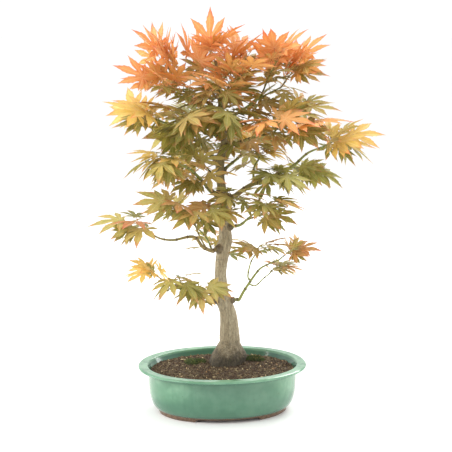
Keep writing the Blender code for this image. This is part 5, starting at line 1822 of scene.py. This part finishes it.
def leaf_finish(name, body, tip, blush, settings):
    """A thin blade: its own colour near the stalk, flushed towards its tips and teeth, with pale veins, and
    light coming through it. The mark holds the distance from a vein and the shares along and outward."""
    f = Finish(f"leaf_{name}", 0.42, Specular_IOR_Level=0.35)
    off, at, out, tone = f.marks()
    mottle = f.noise(340, 4.0)
    toned = f.plus(f.times(tone, 0.75), f.times(f.noise(48, 4.0), 0.5))
    base = f.mix(f.step(toned, 0.45, 1.1), body, f.mix(blush, body, tip))
    # Painted shade: leaves of low tone take the shaded-leaf colour.
    base = f.lay(base, settings.shade, f.step(toned, 0.62, 0.22), 0.9)
    base = f.lay(base, tuple(min(1.0, v * 1.35) for v in body), f.step(mottle, 0.45, 0.7), 0.22)
    flush = f.plus(f.times(f.step(at, 0.50, 1.0), 0.90), f.times(f.math("POWER", out, 14.0), 0.45))
    flush = f.times(flush, f.plus(0.50, f.times(toned, 0.45)))
    base = f.mix(f.math("MINIMUM", flush, 0.95), base, tip)
    slant = f.minus(f.times(at, 7.5), f.times(off, 26.0))
    wave = f.math("ABSOLUTE", f.minus(f.math("FRACT", slant), 0.5))
    veins = f.math("MAXIMUM", f.step(off, 0.016, 0.004), f.times(f.step(wave, 0.10, 0.02), 0.6))
    base = f.lay(base, tuple(min(1.0, 0.25 + 0.85 * v) for v in body), veins, 0.42)
    f.bump(f.plus(f.times(veins, -0.8), f.times(mottle, 0.4)), 0.0003, 0.5)
    f.paint(base, f.plus(0.36, f.times(mottle, 0.2)))
    through = f.node("ShaderNodeHueSaturation", {"Color": base, "Saturation": 0.95, "Value": 1.15})
    glow = f.node("ShaderNodeBsdfTranslucent", {"Color": through.outputs[0]})
    both = f.node("ShaderNodeMixShader", {0: settings.glow, 1: f.shader.outputs[0], 2: glow.outputs[0]})
    f.join(both.outputs[0], f.tree.nodes["Material Output"].inputs["Surface"])
    return f.material


def stalk_finish(settings):
    """A leaf stalk: yellow-green, flushed red where it meets the blade."""
    f = Finish("stalk", 0.45)
    near_blade, _, _, tone = f.marks()
    base = f.lay(settings.stalk, RED_STALK, f.step(f.plus(near_blade, tone), 0.9, 1.8), 0.7)
    f.bump(f.noise(1800, 2.0), 0.0001, 0.4)
    return f.paint(f.mix(f.step(f.noise(500, 3.0), 0.5, 0.8), base, DULL_STALK))


FILLER_SPREAD = 115  # how far an added leaf may turn from its shoot's heading, in degrees
FILLER_TRIES = 12
# The branches whose own wood carries leaves, and how many.
SPUR_LEAVES = {
    "left_upper": 3, "right_main": 3, "back_right": 4, "left_fork": 7, "right_high": 11, "left_high": 8,
    "crown_left": 10, "crown_right": 16,
}
# How far each kind of leaf turns towards its tip's colour on its sunny leaves.
BLUSHES = {"orange": 0.30, "salmon": 0.75, "yellow": 0.15, "olive": 0.55, "green": 0.40}
FULL_CROWN_FROM = 0.26  # shoots whose tips are higher than this above the soil get the full number
BOX_MARGIN = 0.009  # how far an added leaf's flat outline may reach out of its packed shoot's box


def leaf_trees(leaf):
    """Trees of a leaf's surface, with its stalk and without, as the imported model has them."""
    return [tree_of(add_leaf, leaf, CLEARANCE, stalk) for stalk in (True, False)]


def sticks_out(leaf, low, high, margin=0.0):
    """Whether the leaf's flat outline reaches more than the margin out of a box."""
    return any(
        not low[k] - margin <= point[k] <= high[k] + margin
        for point in (p + POT_PLACE for p in blade_outline(leaf)) for k in range(3)
    )


class Spray:
    """A shoot in the making: its twig's line and tree, its leaves, their trees with and without stalks."""

    def __init__(self, shoot, line):
        self.shoot, self.line = shoot, line
        self.twig = tree_of(add_tube, line, [radius + CLEARANCE for radius in twig_radii(line)], TWIG_SIDES)
        self.leaves, self.wholes, self.blades = [], [], []

    def try_leaf(self, leaf, obstacles, must_fit):
        """Adds the leaf if it is clear of the obstacles and of this shoot's blades. Says if it did."""
        whole, blade = leaf_trees(leaf)
        fits = not crosses(whole, obstacles) and not crosses(blade, self.blades)
        if fits or not must_fit:
            self.leaves.append(leaf)
            self.wholes.append(whole)
            self.blades.append(blade)
        return fits


def sprays():
    """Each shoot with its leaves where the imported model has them."""
    _, parents, _ = wood()
    made = {name: Spray(shoot, twig_line(shoot, parents)) for name, shoot in SHOOTS.items()}
    stems = [tree for _, tree in parents.values()]
    taken = []
    for spray in made.values():
        obstacles = [*stems, *[other.twig for other in made.values() if other is not spray], *taken]
        for root, heading, lift, roll, size in leaf_roots(spray.shoot, spray.line):
            for number, (turn, tilt) in enumerate(TRIES):
                leaf = place_leaf(root, heading, lift, roll, size, turn, tilt)
                if spray.try_leaf(leaf, obstacles, must_fit=number < len(TRIES) - 1):
                    break
        taken += spray.wholes
    return made, stems


def add_fillers(made, stems, settings):
    """Adds smaller leaves along each twig wherever one is clear of all the rest and near its shoot's box."""
    for name, spray in made.items():
        shoot = spray.shoot
        rng = random.Random(f"fillers {name}")
        low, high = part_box(f"shoot_{name}")
        wanted = settings.fillers if shoot.tip[2] > FULL_CROWN_FROM else settings.few_fillers
        others = [other for other in made.values() if other is not spray]
        for _ in range(wanted):
            for _ in range(FILLER_TRIES):
                root, _ = along(spray.line, rng.uniform(0.12, 0.96))
                size = shoot.size * rng.uniform(0.62, 0.92)
                heading = shoot.heading + rng.uniform(-FILLER_SPREAD, FILLER_SPREAD)
                lift = max(-50, min(60, shoot.lift + rng.uniform(-45, 35)))
                leaf = place_leaf(root, heading, lift, shoot.roll + rng.uniform(-40, 40), size)
                if sticks_out(leaf, low, high, BOX_MARGIN):
                    continue
                obstacles = [*stems, *[o.twig for o in others], *[tree for o in others for tree in o.wholes]]
                if spray.try_leaf(leaf, obstacles, must_fit=True):
                    break


def add_spurs(made, stems, fullness):
    """Leaves on stalks straight from the upper branches' own wood: each branch's name to its leaves."""
    _, parents, _ = wood()
    taken = [tree for spray in made.values() for tree in (spray.twig, *spray.wholes)]
    spurs = {}
    for name, full in SPUR_LEAVES.items():
        wanted = round(full * fullness)
        rng = random.Random(f"spurs {name}")
        lines, own = parents[name]
        arms = BRANCHES[name]
        leaves = []
        for _ in range(wanted * FILLER_TRIES):
            if len(leaves) == wanted:
                break
            number = rng.randrange(len(lines))
            share = rng.uniform(0.18, 0.97)
            middle, _ = along(lines[number], share)
            heading = rng.uniform(0, 360)
            girth = arms[number].radius + (arms[number].tip_radius - arms[number].radius) * share
            root = middle + direction(heading, 20) * girth
            lift, roll, size = rng.uniform(-35, 40), rng.uniform(-40, 40), rng.uniform(0.8, 1.1)
            leaf = place_leaf(root, heading, lift, roll, size)
            if sticks_out(leaf, *CAD_BOX):
                continue
            whole, blade = leaf_trees(leaf)
            others = [tree for tree in (*stems, *taken) if tree is not own]
            if crosses(whole, others) or crosses(blade, [own]):
                continue
            leaves.append(leaf)
            taken.append(whole)
        spurs[name] = leaves
    return spurs


def spray_shape(name, spray, packed, settings, joint_gap):
    """A twig with its leaves. The first of them, as many as packed says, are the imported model's."""
    rng = random.Random(f"shoot {name}")
    shape = Shape()
    line = smooth_route(spray.line, 8)
    line[0] = line[0] - (line[1] - line[0]).normalized() * 0.0008
    radii = twig_radii(spray.line)
    add_stem(shape, line, radii[0], radii[-1], 8, joint_gap, rng)
    for number, leaf in enumerate(spray.leaves):
        nearest = min(line, key=lambda p: (p - leaf.root).length)
        add_stalk(shape, leaf.root.lerp(nearest, 0.5), leaf, rng, 1)
        # The leaves over a shoot's tip are the coloured ones; those under it and the added ones are greener,
        # and where their tone is low they take the shaded-leaf colour as painted shade.
        above = leaf.base.z + leaf.forward.z * leaf.length * 0.5 - spray.line[-1].z
        tone = 0.55 + 14 * above + rng.uniform(-0.35, 0.25) - (0.35 if number >= packed else 0.0)
        add_blade(shape, leaf, settings, rng, 2, min(1.0, max(0.0, tone)))
    return shape


def spur_shape(name, leaves, settings):
    rng = random.Random(f"spur leaves {name}")
    shape = Shape()
    for leaf in leaves:
        inward = (leaf.root - leaf.base).normalized() * 0.0006
        add_stalk(shape, leaf.root + inward, leaf, rng, 0)
        add_blade(shape, leaf, settings, rng, 1, rng.uniform(0.0, 0.8))
    return shape


def finish_leaves(shape, name, materials, slot, node):
    finish_piece(add_object(mesh_of(shape, name), name), materials, slot, node, sharp=75)


class BONSAI_OT_shoots(bpy.types.Operator):
    """Make the leafy shoots: a twig each, with its leaves on their stalks"""

    bl_idname = "bonsai.shoots"
    bl_label = "Leafy Shoots"

    def execute(self, context):
        settings, bark = context.scene.bonsai_leaf, context.scene.bonsai_bark
        twig_bark, stalks = young_bark_finish(bark, "twig_bark"), stalk_finish(settings)
        blades = {}
        for finish, blush in BLUSHES.items():
            body, tip = tuple(getattr(settings, finish)), tuple(getattr(settings, f"{finish}_tip"))
            blades[finish] = leaf_finish(finish, body, tip, blush, settings)
        made, stems = sprays()
        packed = {name: len(spray.leaves) for name, spray in made.items()}
        add_fillers(made, stems, settings)
        for name, spray in made.items():
            finish = spray.shoot.finish
            shape = spray_shape(name, spray, packed[name], settings, bark.joint_gap)
            finish_leaves(shape, f"{name}_leaves", [twig_bark, stalks, blades[finish]], f"leaf_{finish}",
                          f"shoot_{name}")
        for name, leaves in add_spurs(made, stems, settings.spurs).items():
            shape = spur_shape(name, leaves, settings)
            finish_leaves(shape, f"{name}_spur_leaves", [stalks, blades["olive"]], "leaf_olive",
                          f"branch_{name}")
        return {"FINISHED"}
# --- Stage ---
FLOOR_REACH = 30.0
CAMERA_PLACE = (-0.2212, -1.7857, 0.583)  # from the pot's middle
CAMERA_TURN, CAMERA_FALL = 7.23, 9.68  # to the right and down, in degrees
TREE_MIDDLE, POT_MIDDLE = (0.0, 0.0, 0.30), (0.0, 0.0, 0.1)
# The lights: each one's setting, place, aim, width and tint.
LIGHTS = (
    ("key", (-1.5, -0.9, 1.4), TREE_MIDDLE, 0.9, (1.0, 0.98, 0.95)),
    ("rim", (0.9, 1.2, 1.5), TREE_MIDDLE, 1.0, (1.0, 0.99, 0.96)),
    ("side", (-1.7, 0.35, 0.35), POT_MIDDLE, 0.8, (1.0, 1.0, 1.0)),
    ("side", (1.7, 0.35, 0.35), POT_MIDDLE, 0.8, (1.0, 1.0, 1.0)),
)


def add_light(name, place, aim, width, tint, strength):
    light = bpy.data.lights.new(name, "AREA")
    light.shape, light.size, light.energy, light.color = "SQUARE", width, strength, tint
    obj = bpy.data.objects.new(name, light)
    obj.location = place
    obj.rotation_euler = (Vector(aim) - Vector(place)).to_track_quat("-Z", "Y").to_euler()
    bpy.context.scene.collection.objects.link(obj)


class BONSAI_OT_stage(bpy.types.Operator):
    """Make the floor, the lights and the camera"""

    bl_idname = "bonsai.stage"
    bl_label = "Stage"

    def execute(self, context):
        settings = context.scene.bonsai_stage
        bm = bmesh.new()
        bmesh.ops.create_grid(bm, x_segments=8, y_segments=8, size=FLOOR_REACH,
                              matrix=Matrix.Translation((0, 0, CAD_BOX[0][2] - 0.0002)))
        mesh = bpy.data.meshes.new("floor")
        bm.to_mesh(mesh)
        bm.free()
        floor = add_object(mesh, "floor")
        f = Finish("floor", 0.9)
        f.bump(f.noise(220, 2.0), 0.0003, 0.1)
        mesh.materials.append(f.paint(f.mix(f.noise(3, 2.0), settings.floor, FLOOR_CLOUD)))
        floor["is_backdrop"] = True
        world = bpy.data.worlds.new("studio")
        world.use_nodes = True
        light = world.node_tree.nodes["Background"].inputs
        light["Color"].default_value, light["Strength"].default_value = (1.0, 1.0, 1.0, 1.0), settings.sky
        context.scene.world = world
        for name, place, aim, width, tint in LIGHTS:
            add_light(name, place, aim, width, tint, getattr(settings, name))
        camera = bpy.data.cameras.new("camera")
        camera.lens, camera.sensor_width = settings.lens, 36.0
        obj = bpy.data.objects.new("camera", camera)
        obj.location = POT_PLACE + Vector(CAMERA_PLACE)
        way = direction(90 - CAMERA_TURN, -CAMERA_FALL)
        obj.rotation_euler = way.to_track_quat("-Z", "Y").to_euler()
        context.scene.collection.objects.link(obj)
        context.scene.camera = obj
        context.scene.view_settings.view_transform = "Standard"
        return {"FINISHED"}


# --- Panel and run ---
OPERATORS = (
    BONSAI_OT_stage, BONSAI_OT_pot, BONSAI_OT_screens, BONSAI_OT_soil, BONSAI_OT_moss, BONSAI_OT_trunk,
    BONSAI_OT_branches, BONSAI_OT_shoots,
)


class BONSAI_PT_pieces(bpy.types.Panel):
    """Lists the pieces and their settings"""

    bl_idname = "BONSAI_PT_pieces"
    bl_label = "Maple Bonsai"
    bl_space_type = "VIEW_3D"
    bl_region_type = "UI"
    bl_category = "Bonsai"

    def draw(self, context):
        for operator in OPERATORS:
            self.layout.operator(operator.bl_idname)
        for name, group in SETTINGS.items():
            box = self.layout.box()
            box.label(text=name.removeprefix("bonsai_").capitalize())
            for setting in group.__annotations__:
                box.prop(getattr(context.scene, name), setting)


CLASSES = (*SETTINGS.values(), *OPERATORS, BONSAI_PT_pieces)


def register():
    for cls in CLASSES:
        bpy.utils.register_class(cls)
    for name, group in SETTINGS.items():
        setattr(bpy.types.Scene, name, bpy.props.PointerProperty(type=group))


def unregister():
    for name in SETTINGS:
        delattr(bpy.types.Scene, name)
    for cls in reversed(CLASSES):
        bpy.utils.unregister_class(cls)


def write_sizes():
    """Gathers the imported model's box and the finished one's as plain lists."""
    sizes = {"cad": CAD_BOX, "visual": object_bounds()}
    plain = {name: [[float(v) for v in corner] for corner in box] for name, box in sizes.items()}


def main():
    register()
    for operator in OPERATORS:
        group, name = operator.bl_idname.split(".")
        getattr(getattr(bpy.ops, group), name)()
    write_sizes()


if __name__ == "__main__":
    main()
